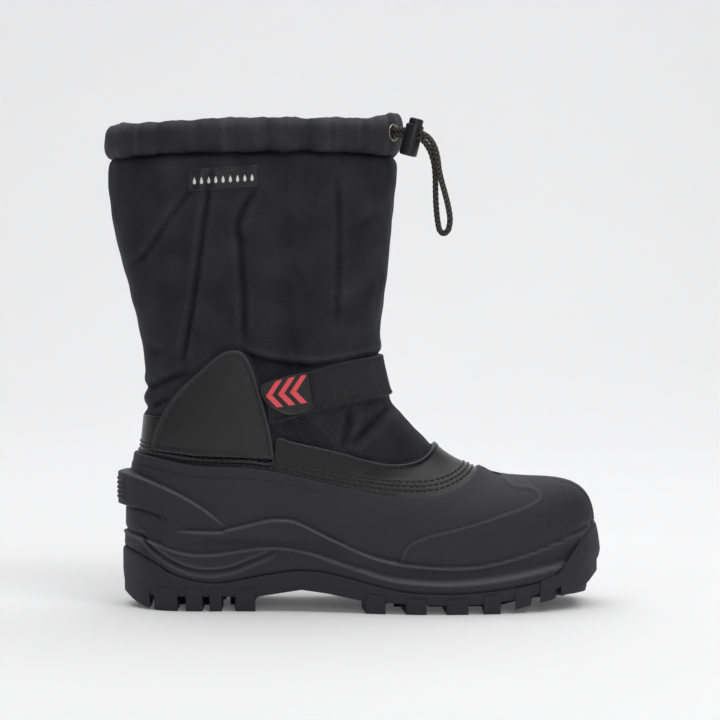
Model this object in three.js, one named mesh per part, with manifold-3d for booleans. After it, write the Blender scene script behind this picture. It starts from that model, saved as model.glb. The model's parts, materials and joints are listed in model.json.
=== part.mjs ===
// Snow boot for the right foot, in millimetres: +X to the toe, -Y to the outer side, +Z up.
// The boot stands on the floor at Z = 0.
import * as THREE from "three";
import { mergeVertices } from "three/addons/utils/BufferGeometryUtils.js";
import Module from "manifold-3d";

const wasm = await Module();
wasm.setup();

// Driving sizes
const gap = 0.3;             // clearance between pieces that touch
const upperWall = 4.5;       // nylon, foam and felt lining together
const leatherThickness = 1.8;
const shellGrowth = 5.6;     // outside of the shell, measured from the outside of the upper
const waveStep = 1.2;        // each moulded wave stands this much prouder than the one above it
const insoleThickness = 5;
const insoleLift = 0.6;      // the insole's underside, above the lowest line of the upper
const bandTuck = 8;          // how far the leather band goes down behind the shell's lip
const collarPuff = 2;        // the collar stands this much proud of the shaft
const collarThickness = 9;
const webbingThickness = 2;
const tabThickness = 3;
const pointsAround = 24;     // around the outside of a section
const innerPoints = 16;      // around the space inside
const origin = { x: -3.45, y: -0.82 };   // middle of the boot in the frame that the tables use
const tidyTolerance = 0.14;   // how far a cut edge may move when thin triangles are joined
const width = 200;           // more than the boot is wide: how deep the cutting outlines are
const insoleDrop = 4;         // how far the foot's outline is lowered to shape the insole's edge
const insoleEdge = 1;         // the insole's edge stays this far inside the upper's outside
const lugProud = 0.7;         // lugs stand this much proud of the outsole's side
const lugZone = { low: -1, high: 30, reach: 80 };   // blocks that the lugs are cut from
const ledgeZone = { low: 55, high: 95, steps: 40 };
const turnedSegments = 20;

// Named rows from the columns and numbers of a table
const named = (columns, row) => Object.fromEntries(columns.map((name, i) => [name, row[i]]));
const table = (columns, rows) => rows.map((row) => named(columns, row));

// Sections of the boot's upper, from above the collar down the shaft, round the ankle and out to the toe.
// Each runs from a low point on the back or the sole to a high point on the shin or the instep.
// lateral and medial are half widths about shift; widest is how far up the widest place is;
// lowPower and highPower square the two halves; shellLow is how thick the shell is under or behind it.
const sectionColumns = [
  "lowX", "lowZ", "highX", "highZ", "lateral", "medial", "shift", "widest", "lowPower", "highPower", "shellLow",
];
const sectionRows = [
  [-164.5, 340, 27.5, 340, 50, 50, 0, 0.5, 2.3, 2.3, 5.6],
  [-166, 297, 24.8, 297.5, 49.5, 49.5, 0, 0.5, 2.3, 2.3, 5.6],
  [-162.8, 262, 21.3, 264, 48.5, 48.5, 0, 0.5, 2.3, 2.3, 5.6],
  [-155, 226, 17.5, 229, 47, 47, 0, 0.5, 2.3, 2.3, 5.6],
  [-146.5, 189, 13.5, 196, 45.5, 45.5, 0, 0.5, 2.3, 2.3, 5.6],
  [-142, 160, 12.7, 169, 44, 44, 0, 0.5, 2.3, 2.3, 5.6],
  [-141.3, 133, 16, 150, 43, 43, 0, 0.5, 2.4, 2.3, 5.6],
  [-143.5, 108, 22, 134.5, 42, 42, 0, 0.5, 2.5, 2.2, 5.6],
  [-146, 86, 30, 124.8, 41, 41, 0, 0.5, 2.5, 2.2, 6.5],
  [-147, 66, 38.5, 115.8, 40.5, 40.5, 0, 0.5, 2.5, 2.2, 8],
  [-146.5, 48, 46.5, 107.5, 40.5, 40.5, 0, 0.48, 2.6, 2.2, 9],
  [-139, 35, 54, 100.6, 41, 40.5, 0, 0.46, 2.9, 2.2, 20],
  [-113, 33, 62, 95.4, 41.5, 40.5, 0, 0.45, 3.2, 2.2, 17],
  [-78, 32, 70, 91.6, 43, 41.5, 0, 0.45, 3.2, 2.2, 15.5],
  [-40, 29, 78, 87.2, 46, 43.5, 0, 0.45, 3.2, 2.2, 9],
  [-3, 25, 86.5, 82, 49, 46, 0, 0.44, 3.2, 2.3, 10.5],
  [30, 22.5, 95, 79.8, 49.5, 47, 0.5, 0.42, 3.2, 2.4, 11],
  [58, 22, 103.5, 78.6, 48.5, 47, 1, 0.4, 3.2, 2.4, 10.5],
  [82, 23, 112.5, 78.3, 45.5, 45, 2, 0.4, 3.2, 2.4, 10],
  [103, 25.3, 121.5, 78.1, 41, 42, 3, 0.4, 3.2, 2.4, 10],
  [121, 28.6, 130, 77.4, 35, 37, 4, 0.4, 3, 2.4, 9],
  [134, 32.5, 138, 75.8, 28, 30.5, 5, 0.42, 2.7, 2.4, 8],
  [142.5, 37, 144, 72.3, 20, 22.5, 5.5, 0.45, 2.4, 2.3, 6.6],
  [147.3, 43, 147.8, 66.5, 12, 13.5, 6, 0.5, 2.2, 2.2, 6],
  [149.7, 50.5, 149.7, 58.5, 4, 5, 6, 0.5, 2, 2, 5.6],
];
const firstSoleRow = 11;      // the heel's corner, where the sole begins
const sections = table(sectionColumns, sectionRows);

// The outsole's outline seen from above, from the back of the heel to the toe
const outlineColumns = ["x", "lateral", "medial"];
const outlineRows = [
  [-152, 17, 17],
  [-138, 34, 34],
  [-115, 42.5, 42.5],
  [-75, 43, 41],
  [-35, 46.5, 38.5],
  [5, 54, 47],
  [40, 59.5, 55.5],
  [75, 58, 58],
  [105, 51.5, 54.5],
  [128, 41, 47.5],
  [146, 26.5, 35.5],
  [156.5, 9.5, 21.5],
];
const outlineHeelX = -157.6;
const outlineToe = [160.4, 6];

// How far the outsole's side leans in from its outline at each height
const sideColumns = ["z", "inset"];
const sideRows = [
  [-3, 4.2],
  [6, 2.6],
  [14, 0.8],
  [24, 0],
  [36, 0],
  [47, 1.6],
  [60, 4.6],
];

// Side-view lines, in X and Z, from heel to toe
const shellLip = [
  [-175, 105], [-141, 101], [-108, 95.5], [-70, 94], [-43, 89.3], [-14, 82.5],
  [14, 77], [38, 75.6], [54, 77.6], [68, 83.5], [78, 92], [86, 104],
];
const bandBack = [
  [-175, 126.5], [-131, 126.5], [-134.5, 115], [-136.5, 103.5], [-108, 100.5], [-75, 99.5], [-54.5, 98.5],
];
const bandFront = [
  [-56, 114], [-42.5, 111], [-14, 104], [9.5, 97], [25, 95], [38, 97], [46, 103], [49.5, 112],
];
const upperWave = [
  [-175, 54.4], [-98, 52.5], [-85, 54.4], [-61, 60], [-52, 60.6], [-41, 59], [-18, 48],
  [10, 36.6], [39, 31.7], [73, 31], [108, 38], [145, 51], [175, 63],
];
const lowerWave = [
  [-175, 53], [-143, 47], [-120, 39.5], [-98, 37.5], [-61, 42], [-34, 39.4], [0, 29.8],
  [21.5, 24.5], [56, 22.4], [90, 25.7], [126, 32], [145, 38], [175, 52],
];
const outsoleTop = [
  [-175, 43], [-143, 35], [-120, 23.4], [-93, 18.8], [-61, 24.4], [-40, 27.2], [-18, 25.5],
  [21.5, 16], [50, 13.8], [84.5, 15.3], [120, 21], [133, 28.5], [144, 41.5], [153, 51.5], [175, 58],
];
const outsoleRoof = [
  [-175, 20], [-150, 11.5], [-137, 9.5], [-68, 9.5], [-50, 12.5], [-38, 14.6], [-22, 12.6],
  [0, 8.4], [30, 6.6], [60, 5.6], [84, 6.4], [102, 9.6], [117, 13.5], [132, 18.3],
  [146, 22.5], [156, 30], [175, 48],
];
const lugBottom = [
  [-175, 24], [-155, 8.5], [-146, 3.4], [-135, 0], [92, 0], [104, 3.4], [120, 6.6], [137, 10.8],
  [150, 16.4], [158, 24], [175, 42],
];
const lugTop = [
  [-175, 30], [-150, 20], [-137, 15.5], [-75, 15], [-40, 17], [0, 13.5], [27, 10.6], [54, 9.4],
  [80, 11.6], [104, 16.5], [121, 22], [140, 29], [175, 50],
];
const ledgeOutline = [
  [-175, 89.4], [-152, 89.4], [-141, 85.6], [-131, 82.4], [-118, 77], [-100, 66],
  [-112, 62], [-130, 63.5], [-142, 66.5], [-155, 66.5], [-175, 66.5],
];
const ledge = { centreX: -111, halfLength: 49.7, halfWidth: 39.5 };
const collarSeam = [
  [-190, 294.2], [-166, 294.6], [-100, 297.6], [-40, 298.2], [0, 297.6], [26, 295.6], [60, 295],
];
const collarTop = [
  [-190, 315.5], [-167, 315.8], [-151, 317.2], [-119, 319.2], [-60, 321], [-8, 321], [12, 321.8],
  [21, 325], [27, 324.6], [60, 320],
];
const patchOutline = [
  [-136, 104], [-133, 117], [-127, 130], [-117, 144.5], [-107, 154], [-93, 166.5], [-83, 170.7],
  [-75.5, 168.8], [-70, 161], [-65, 145.7], [-60, 127], [-56.8, 112],
  [-55.2, 99.2], [-75, 100.2], [-108, 101.2],
];
const strapOutline = [
  [-62.5, 146], [-52, 151.5], [-33, 156.2], [-17, 161], [-2, 164], [14, 166], [30, 168.5],
  [36, 143], [21.5, 139.6], [6, 137.8], [-6, 136.3], [-17, 133.6], [-29, 131], [-43, 126.4], [-58, 122.6],
];
const tabOutline = [
  [-65, 147.5], [-61.5, 150], [-37, 156.4], [-33.6, 155], [-30.4, 134], [-32.5, 131.2],
  [-40, 128.8], [-47, 128.3], [-54, 131], [-60, 135.5], [-64, 142],
];

// Lugs along each edge of the sole: from and to in X at their inner ends, how far the outer ends
// lie ahead of those, and how far from the middle of the boot the inner ends stop
const edgeLugColumns = ["from", "to", "slant", "innerY"];
const edgeLugRows = [
  [-162, -137.5, 0, 6],
  [-134.5, -119, 0, 15],
  [-113.5, -102.5, 0, 17],
  [-98, -90, 0, 17],
  [-83, -70, 2, 15],
  [1, 13.5, 3, 23],
  [27, 40, 3, 26],
  [54, 68, 2, 26],
  [80, 91, 0, 24],
  [103.5, 113.5, -3, 20],
  [121, 131, -4, 15],
  [137, 163, -6, 3.5],
];
// Lugs along the middle of the sole: from and to in X, half width, and how far the middle points forward
const middleLugColumns = ["from", "to", "half", "point"];
const middleLugRows = [
  [-128, -116, 8, 4],
  [-107, -95, 10, 4],
  [-86, -75, 9, 4],
  [2, 14, 15, 5],
  [22, 36, 19, 5],
  [45, 59, 19, 5],
  [68, 81, 17, 5],
  [92, 103, 13, 5],
  [112, 121, 9, 4],
];

// Eyelet: where it sits on the collar, which way it faces, and its sizes
const eyelet = {
  x: 21.3, y: -22.3, z: 311.6, facing: -36,
  outer: 5.8, hole: 3.9, barrel: 4.5, flange: 1.4, chamfer: 0.5, barrelLength: 5,
  pocketDepth: 7.2, pocketTop: 12,
};
// Cord lock: a barrel with a bore from the top and a slot across it, and the sprung button in the bore
const lock = {
  radius: 5.85, length: 20.5, bore: 4.9, floor: 2.4, tilt: 14.3, slotHeight: 14.2, chamfer: 0.8, rim: 0.4,
};
const lockCentre = [34.4, -32.1, 310.1];
const slot = { width: 4.2, height: 7.8 };
const button = { radius: 4.6, bottom: 6, proud: 4.2, travel: 3, shoulder: 0.9, edge: 0.4, edgeDrop: 0.3 };

// Drawcord: out of the eyelet, through the lock, down in a loop and back
const cord = { diameter: 3.4, sides: 8, steps: 48 };
const cordRoute = [
  [16.0, -18.4, 313.4], [22.1, -22.9, 313.4], [27.1, -26.4, 313.3], [34.8, -32.1, 311.8], [40.2, -36.3, 310.4],
  [43.6, -39.0, 308.4], [46.6, -41.6, 304.6], [48.8, -43.9, 299.4], [50.1, -45.6, 293.2], [50.9, -46.9, 286.6],
  [52.6, -49.0, 279.0], [54.6, -51.3, 271.5], [56.3, -53.4, 264.5], [57.5, -55.1, 257.6], [57.6, -55.4, 253.0],
  [56.5, -53.6, 248.0], [53.9, -49.4, 245.9], [51.4, -45.1, 248.0], [50.3, -43.3, 253.0], [49.5, -42.0, 259.5],
  [49.0, -41.2, 267.0], [48.8, -41.2, 274.5], [48.7, -41.8, 281.5], [48.2, -42.4, 288.0], [47.0, -42.1, 294.2],
  [45.1, -40.6, 299.6], [42.5, -38.3, 303.9], [39.4, -36.3, 307.0], [34.0, -32.1, 308.4], [27.0, -26.4, 309.7],
  [22.1, -22.9, 309.8], [16.0, -18.4, 309.8],
];

// Manifold solids from closed geometries, and back
function toSolid(geometry) {
  geometry.deleteAttribute("normal");
  geometry.deleteAttribute("uv");
  const merged = mergeVertices(geometry, 1e-4);
  const vertProperties = merged.attributes.position.array;
  const triVerts = new Uint32Array(merged.index.array);
  const mesh = new wasm.Mesh({ numProp: 3, vertProperties, triVerts });
  return new wasm.Manifold(mesh);
}

function toGeometry(solid) {
  const mesh = solid.getMesh();
  const geometry = new THREE.BufferGeometry();
  geometry.setAttribute("position", new THREE.BufferAttribute(mesh.vertProperties, 3));
  geometry.setIndex(new THREE.BufferAttribute(mesh.triVerts, 1));
  return geometry;
}

// A closed solid through rings of equal length, with a fan of triangles over each end
function loft(rings) {
  const count = rings[0].length;
  const positions = rings.flat().flatMap((p) => [p.x, p.y, p.z]);
  const index = [];
  for (let r = 0; r + 1 < rings.length; r += 1) {
    for (let i = 0; i < count; i += 1) {
      const a = r * count + i;
      const b = r * count + ((i + 1) % count);
      index.push(a, b, a + count);
      index.push(b, b + count, a + count);
    }
  }
  const ends = [[0, false], [rings.length - 1, true]];
  for (const [r, last] of ends) {
    const middle = new THREE.Vector3();
    rings[r].forEach((p) => middle.add(p));
    middle.divideScalar(count);
    const centre = positions.length / 3;
    positions.push(middle.x, middle.y, middle.z);
    for (let i = 0; i < count; i += 1) {
      const a = r * count + i;
      const b = r * count + ((i + 1) % count);
      index.push(...(last ? [a, b, centre] : [b, a, centre]));
    }
  }
  const geometry = new THREE.BufferGeometry();
  geometry.setAttribute("position", new THREE.Float32BufferAttribute(positions, 3));
  geometry.setIndex(index);
  return toSolid(geometry);
}

// Outward normals, in the side view, of the low and the high line of the sections
function lineNormal(xName, zName, i, side) {
  const before = sections[Math.max(i - 1, 0)];
  const after = sections[Math.min(i + 1, sections.length - 1)];
  const dx = after[xName] - before[xName];
  const dz = after[zName] - before[zName];
  const length = Math.hypot(dx, dz);
  return [(side * dz) / length, (-side * dx) / length];
}

const signedPower = (value, power) => Math.sign(value) * Math.abs(value) ** power;

// One ring of the boot's form, grown by top on the shin and instep, side, and low on the back and the sole
function sectionRing(i, count, top, side, low) {
  const row = sections[i];
  const lowNormal = lineNormal("lowX", "lowZ", i, 1);
  const highNormal = lineNormal("highX", "highZ", i, -1);
  const lowX = row.lowX + lowNormal[0] * low;
  const lowZ = row.lowZ + lowNormal[1] * low;
  const highX = row.highX + highNormal[0] * top;
  const highZ = row.highZ + highNormal[1] * top;
  const ring = [];
  for (let k = 0; k < count; k += 1) {
    const angle = (2 * Math.PI * k) / count;
    const power = 2 / (Math.cos(angle) > 0 ? row.lowPower : row.highPower);
    const along = signedPower(Math.cos(angle), power);
    const across = signedPower(Math.sin(angle), power);
    const u = along > 0 ? row.widest * (1 - along) : row.widest - (1 - row.widest) * along;
    const half = (across > 0 ? row.lateral : row.medial) + side;
    const x = lowX + (highX - lowX) * u;
    const z = lowZ + (highZ - lowZ) * u;
    ring.push(new THREE.Vector3(x, row.shift - across * half, z));
  }
  return ring;
}

// The boot's form grown evenly, and the form of the shell, which is thicker under the foot
const form = (growth, count = pointsAround) =>
  loft(sections.map((row, i) => sectionRing(i, count, growth, growth, growth)).reverse());
const shellForm = (growth) => loft(sections.map((row, i) =>
  sectionRing(i, pointsAround, shellGrowth + growth, shellGrowth + growth, row.shellLow + growth)).reverse());

// Solids that cut in the side view: an outline in X and Z, as deep as the boot is wide
function sideSolid(points, fromY = -width / 2, toY = width / 2) {
  const shape = new THREE.Shape(points.map(([x, z]) => new THREE.Vector2(x, z)));
  const geometry = new THREE.ExtrudeGeometry(shape, { depth: toY - fromY, bevelEnabled: false });
  geometry.rotateX(Math.PI / 2);
  geometry.translate(0, toY, 0);
  return toSolid(geometry);
}

const farAbove = 400;
const farBelow = -60;
const farBack = -200;
const farFront = 200;
function smooth(points, steps) {
  const curve = new THREE.SplineCurve(points.map(([x, z]) => new THREE.Vector2(x, z)));
  return curve.getPoints(steps).map((p) => [p.x, p.y]);
}
const stretched = (line) => [[farBack, line[0][1]], ...line, [farFront, line[line.length - 1][1]]];
const below = (line) => sideSolid([[farBack, farBelow], [farFront, farBelow], ...stretched(line).reverse()]);
const above = (line) => sideSolid([...stretched(line), [farFront, farAbove], [farBack, farAbove]]);
const lowered = (line, drop) => line.map(([x, z]) => [x, z - drop]);

// A solid standing on a plan outline, between two heights
function planSolid(points, fromZ, toZ) {
  const shape = new THREE.Shape(points.map(([x, y]) => new THREE.Vector2(x, y)));
  const geometry = new THREE.ExtrudeGeometry(shape, { depth: toZ - fromZ, bevelEnabled: false });
  geometry.translate(0, 0, fromZ);
  return toSolid(geometry);
}

const lipLine = smooth(shellLip, 20);
const upperWaveLine = smooth(upperWave, 18);
const lowerWaveLine = smooth(lowerWave, 18);
const outsoleTopLine = smooth(outsoleTop, 22);
const seamLine = smooth(collarSeam, 12);

// The space that the foot takes, with its floor swept down so that the upper is open underneath
function footSpace(growth) {
  const space = form(growth, innerPoints);
  return space.add(space.translate([0, 0, -upperWall * 2]));
}

// The sole line of the sections, raised by a height
const soleLine = (rise) => {
  const rows = sections.slice(firstSoleRow);
  const line = rows.map((row) => [row.lowX, row.lowZ + rise]);
  return [[-175, rows[0].lowZ + rise], ...line, [175, rows[rows.length - 1].lowZ + rise + 12]];
};

function makeUpper() {
  return form(0).subtract(footSpace(-upperWall)).intersect(below(lowered(seamLine, gap / 2)));
}

function makeInsole() {
  const slab = below(soleLine(insoleLift + insoleThickness)).intersect(above(soleLine(insoleLift)));
  const outline = form(-upperWall - gap, innerPoints).translate([0, 0, -insoleDrop]);
  return outline.intersect(slab).intersect(form(-insoleEdge));
}

// The shell's outside: lip, kick ledge and the two waves, each a little prouder than the one above
function shellOutside(growth) {
  const body = shellForm(growth);
  const upper = shellForm(growth + waveStep).intersect(below(upperWaveLine));
  const lower = shellForm(growth + 2 * waveStep).intersect(below(lowerWaveLine));
  return body.add(upper).add(lower);
}

function makeLedge() {
  const points = [];
  for (let i = 0; i < ledgeZone.steps; i += 1) {
    const angle = (2 * Math.PI * i) / ledgeZone.steps;
    points.push([ledge.centreX + ledge.halfLength * Math.cos(angle), ledge.halfWidth * Math.sin(angle)]);
  }
  return planSolid(points, ledgeZone.low, ledgeZone.high).intersect(sideSolid(ledgeOutline));
}

function makeShell() {
  const outside = shellOutside(0).add(makeLedge()).intersect(below(lipLine));
  const pocket = form(leatherThickness + 2 * gap).intersect(above(lowered(lipLine, bandTuck + gap)));
  return outside.subtract(form(gap)).subtract(pocket);
}

function makeBand() {
  const band = form(leatherThickness + gap).subtract(form(gap));
  const outline = below([...bandBack, ...smooth(bandFront, 20)]);
  return band.intersect(outline).intersect(above(lowered(lipLine, bandTuck)));
}

function makePatch(lateral) {
  const sheet = form(leatherThickness + gap).subtract(form(gap));
  const outline = lateral ? sideSolid(patchOutline, -width / 2, 0) : sideSolid(patchOutline, 0, width / 2);
  return sheet.intersect(outline);
}

function makeCollar() {
  const ring = form(collarPuff).subtract(form(collarPuff - collarThickness));
  const top = below(smooth(collarTop, 24));
  return ring.intersect(top).intersect(above(lowered(seamLine, -gap / 2)));
}

function makeStrap() {
  return form(gap + webbingThickness).subtract(form(gap)).intersect(sideSolid(strapOutline));
}

function makeTab() {
  const inner = 2 * gap + webbingThickness;
  const sheet = form(inner + tabThickness).subtract(form(inner));
  return sheet.intersect(sideSolid(tabOutline, -width / 2, 0));
}

// The outsole's plan outline, moved in by an inset
function planOutline(inset) {
  const rows = table(outlineColumns, outlineRows);
  const lateral = rows.map((row) => new THREE.Vector2(row.x, -row.lateral));
  const medial = rows.map((row) => new THREE.Vector2(row.x, row.medial)).reverse();
  const heel = new THREE.Vector2(outlineHeelX, 0);
  const toe = new THREE.Vector2(...outlineToe);
  const curve = new THREE.CatmullRomCurve3(
    [heel, ...lateral, toe, ...medial].map((p) => new THREE.Vector3(p.x, p.y, 0)), true, "centripetal");
  const count = 48;
  const points = [];
  for (let i = 0; i < count; i += 1) {
    const point = curve.getPoint(i / count);
    const tangent = curve.getTangent(i / count);
    points.push([point.x - tangent.y * inset, point.y + tangent.x * inset]);
  }
  return points;
}

function outsoleForm(growth) {
  const levels = table(sideColumns, sideRows);
  return loft(levels.map((level) =>
    planOutline(level.inset - growth).map(([x, y]) => new THREE.Vector3(x, y, level.z))));
}

function makeLugs() {
  const blocks = [];
  for (const lug of table(edgeLugColumns, edgeLugRows)) {
    for (const side of [-1, 1]) {
      const outer = side * lugZone.reach;
      const inner = side * lug.innerY;
      const corners = [
        [lug.from + lug.slant, outer], [lug.to + lug.slant, outer], [lug.to, inner], [lug.from, inner],
      ];
      blocks.push(planSolid(side < 0 ? corners : corners.reverse(), lugZone.low, lugZone.high));
    }
  }
  for (const lug of table(middleLugColumns, middleLugRows)) {
    const corners = [
      [lug.from, -lug.half], [lug.to, -lug.half], [lug.to + lug.point, 0], [lug.to, lug.half],
      [lug.from, lug.half], [lug.from + lug.point, 0],
    ];
    blocks.push(planSolid(corners, lugZone.low, lugZone.high));
  }
  const all = blocks.reduce((sum, block) => sum.add(block));
  const zone = below(lugTop).intersect(above(lugBottom));
  return all.intersect(outsoleForm(lugProud)).intersect(zone);
}

function makeOutsole() {
  const body = outsoleForm(0).intersect(below(outsoleTopLine)).intersect(above(outsoleRoof));
  return body.add(makeLugs()).subtract(shellOutside(gap));
}

// A ring or a pin turned about its own axis, from a profile of radius and height
function turned(profile, segments) {
  const geometry = new THREE.LatheGeometry(profile.map(([r, h]) => new THREE.Vector2(r, h)), segments);
  return geometry.rotateX(Math.PI / 2);
}

const eyeletOut = new THREE.Vector3(
  Math.cos(THREE.MathUtils.degToRad(eyelet.facing)), Math.sin(THREE.MathUtils.degToRad(eyelet.facing)), 0);

// Axes at the eyelet: Z points out of the collar
function eyeletFrame() {
  const up = new THREE.Vector3(0, 0, 1);
  const across = new THREE.Vector3().crossVectors(up, eyeletOut);
  return new THREE.Matrix4().makeBasis(across, up, eyeletOut).setPosition(eyelet.x, eyelet.y, eyelet.z);
}

function makeEyelet() {
  const face = gap + eyelet.flange;
  const ring = turned([
    [eyelet.hole, -eyelet.barrelLength], [eyelet.barrel, -eyelet.barrelLength], [eyelet.barrel, gap],
    [eyelet.outer, gap], [eyelet.outer, face - eyelet.chamfer], [eyelet.outer - eyelet.chamfer, face],
    [eyelet.hole + eyelet.chamfer, face], [eyelet.hole, face - eyelet.chamfer],
    [eyelet.hole, -eyelet.barrelLength],
  ], turnedSegments);
  return toSolid(ring.applyMatrix4(eyeletFrame()));
}

function makeEyeletPocket() {
  const radius = eyelet.barrel + gap;
  const { pocketDepth, pocketTop } = eyelet;
  const profile = [[0, -pocketDepth], [radius, -pocketDepth], [radius, pocketTop], [0, pocketTop]];
  const pocket = turned(profile, turnedSegments);
  return toSolid(pocket.applyMatrix4(eyeletFrame()));
}

// Axes at the lock's foot: Z up the barrel, X along the slot
function lockFrame() {
  const tilt = THREE.MathUtils.degToRad(lock.tilt);
  const up = new THREE.Vector3(Math.sin(tilt), 0, Math.cos(tilt));
  const along = eyeletOut.clone().addScaledVector(up, -eyeletOut.dot(up)).normalize();
  const side = new THREE.Vector3().crossVectors(up, along);
  const foot = new THREE.Vector3(...lockCentre).addScaledVector(up, -lock.slotHeight);
  return new THREE.Matrix4().makeBasis(along, side, up).setPosition(foot);
}

// A slot with round ends, from a low to a high place up the lock
function slotSolid(low, high) {
  const radius = slot.width / 2;
  const shape = new THREE.Shape();
  shape.absarc(0, high - radius, radius, 0, Math.PI, false);
  shape.absarc(0, low + radius, radius, Math.PI, 2 * Math.PI, false);
  const depth = lock.radius * 4;
  const geometry = new THREE.ExtrudeGeometry(shape, { depth, bevelEnabled: false, curveSegments: 5 });
  geometry.translate(0, 0, -depth / 2);
  geometry.rotateX(Math.PI / 2);
  geometry.rotateZ(Math.PI / 2);
  return toSolid(geometry.applyMatrix4(lockFrame()));
}

const slotLow = lock.slotHeight - slot.height / 2;
const slotHigh = lock.slotHeight + slot.height / 2;

function makeLockBody() {
  const { radius, length, bore, floor, chamfer, rim } = lock;
  const barrel = turned([
    [0, 0], [radius - chamfer, 0], [radius, chamfer], [radius, length - rim], [radius - rim, length],
    [bore, length], [bore, floor], [0, floor],
  ], turnedSegments);
  return toSolid(barrel.applyMatrix4(lockFrame())).subtract(slotSolid(slotLow, slotHigh));
}

function makeLockButton() {
  const top = lock.length + button.proud;
  const { radius, bottom, travel, shoulder, edge, edgeDrop } = button;
  const pin = turned([
    [0, bottom], [radius, bottom], [radius, top - shoulder], [radius - edge, top - edgeDrop],
    [radius - edge - shoulder, top], [0, top],
  ], turnedSegments);
  return toSolid(pin.applyMatrix4(lockFrame())).subtract(slotSolid(slotLow, slotHigh + travel));
}

function makeCord() {
  const shape = new THREE.Shape();
  for (let i = 0; i < cord.sides; i += 1) {
    const angle = (2 * Math.PI * i) / cord.sides;
    const x = (cord.diameter / 2) * Math.cos(angle);
    const y = (cord.diameter / 2) * Math.sin(angle);
    if (i === 0) {
      shape.moveTo(x, y);
    } else {
      shape.lineTo(x, y);
    }
  }
  const path = new THREE.CatmullRomCurve3(cordRoute.map((point) => new THREE.Vector3(...point)));
  const options = { steps: cord.steps, extrudePath: path, bevelEnabled: false };
  return toSolid(new THREE.ExtrudeGeometry(shape, options));
}

const pieces = {
  outsole: makeOutsole(),
  rubber_shell: makeShell(),
  upper: makeUpper(),
  insole: makeInsole(),
  leather_band: makeBand(),
  ankle_patch_lateral: makePatch(true),
  ankle_patch_medial: makePatch(false),
  collar: makeCollar().subtract(makeEyeletPocket()),
  strap: makeStrap(),
  strap_tab: makeTab(),
  eyelet: makeEyelet(),
  cord_lock_body: makeLockBody(),
  cord_lock_button: makeLockButton(),
  drawcord: makeCord(),
};

// Colour, roughness and metalness of each piece
const finishes = {
  outsole: [0x333336, 0.75, 0],
  rubber_shell: [0x39393c, 0.6, 0],
  upper: [0x1f1f22, 0.9, 0],
  insole: [0x5a5a58, 0.95, 0],
  leather_band: [0x222224, 0.4, 0],
  ankle_patch_lateral: [0x29292b, 0.6, 0],
  ankle_patch_medial: [0x29292b, 0.6, 0],
  collar: [0x1f1f22, 0.9, 0],
  strap: [0x222225, 0.8, 0],
  strap_tab: [0x28282a, 0.55, 0],
  eyelet: [0x55504a, 0.35, 1],
  cord_lock_body: [0x232325, 0.5, 0],
  cord_lock_button: [0x232325, 0.5, 0],
  drawcord: [0x1e1e20, 0.9, 0],
};

const boot = new THREE.Group();
for (const [name, solid] of Object.entries(pieces)) {
  const [color, roughness, metalness] = finishes[name];
  const material = new THREE.MeshStandardMaterial({ color, roughness, metalness });
  const mesh = new THREE.Mesh(toGeometry(solid.simplify(tidyTolerance)), material);
  mesh.name = name;
  boot.add(mesh);
}
boot.position.set(-origin.x, -origin.y, 0);

export default boot;
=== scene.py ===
import json
import math

import bmesh
import bpy
import numpy as np
from mathutils import Matrix, Vector
from mathutils.bvhtree import BVHTree

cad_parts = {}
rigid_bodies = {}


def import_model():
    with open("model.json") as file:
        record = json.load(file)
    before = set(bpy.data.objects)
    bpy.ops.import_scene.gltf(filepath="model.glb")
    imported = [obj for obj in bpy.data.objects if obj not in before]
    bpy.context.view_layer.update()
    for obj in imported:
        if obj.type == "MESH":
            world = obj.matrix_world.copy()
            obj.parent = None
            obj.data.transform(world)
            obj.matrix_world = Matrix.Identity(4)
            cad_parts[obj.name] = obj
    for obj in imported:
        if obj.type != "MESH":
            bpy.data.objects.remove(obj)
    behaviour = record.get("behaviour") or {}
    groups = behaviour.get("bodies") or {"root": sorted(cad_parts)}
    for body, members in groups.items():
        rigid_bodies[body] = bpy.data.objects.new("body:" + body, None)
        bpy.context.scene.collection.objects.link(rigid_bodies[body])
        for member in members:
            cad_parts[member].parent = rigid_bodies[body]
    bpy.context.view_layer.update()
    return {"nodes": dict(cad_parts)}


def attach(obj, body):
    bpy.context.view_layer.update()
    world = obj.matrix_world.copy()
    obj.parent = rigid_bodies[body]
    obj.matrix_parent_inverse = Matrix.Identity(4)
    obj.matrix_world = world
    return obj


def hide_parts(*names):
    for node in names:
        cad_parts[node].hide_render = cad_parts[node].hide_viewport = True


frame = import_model()

mm = 0.001
# The tables below are in millimetres, from a point under the ankle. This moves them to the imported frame.
tableOrigin = np.array([3.45, 0.82, 0.0])

print("stage: camera, floor and light")


def toFrame(points):
    return (np.asarray(points, float) + tableOrigin) * mm


camera = {"x": 0.0, "distance": 1750.0, "height": 244.0, "aimHeight": 162.0, "lens": 132.0}


def makeCamera(values):
    data = bpy.data.cameras.new("studioCamera")
    data.lens = values["lens"]
    data.sensor_width = 36
    obj = bpy.data.objects.new("studioCamera", data)
    place = Vector(toFrame([values["x"], -values["distance"], values["height"]]))
    aim = Vector(toFrame([values["x"], 0, values["aimHeight"]]))
    obj.location = place
    obj.rotation_euler = (aim - place).to_track_quat("-Z", "Y").to_euler()
    bpy.context.scene.collection.objects.link(obj)
    bpy.context.scene.camera = obj


makeCamera(camera)


# Colours and materials

def hexColour(code):
    # sRGB hex to linear
    parts = [int(code[i:i + 2], 16) / 255 for i in (1, 3, 5)]
    return tuple(c / 12.92 if c <= 0.04045 else ((c + 0.055) / 1.055) ** 2.4 for c in parts) + (1.0,)


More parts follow.
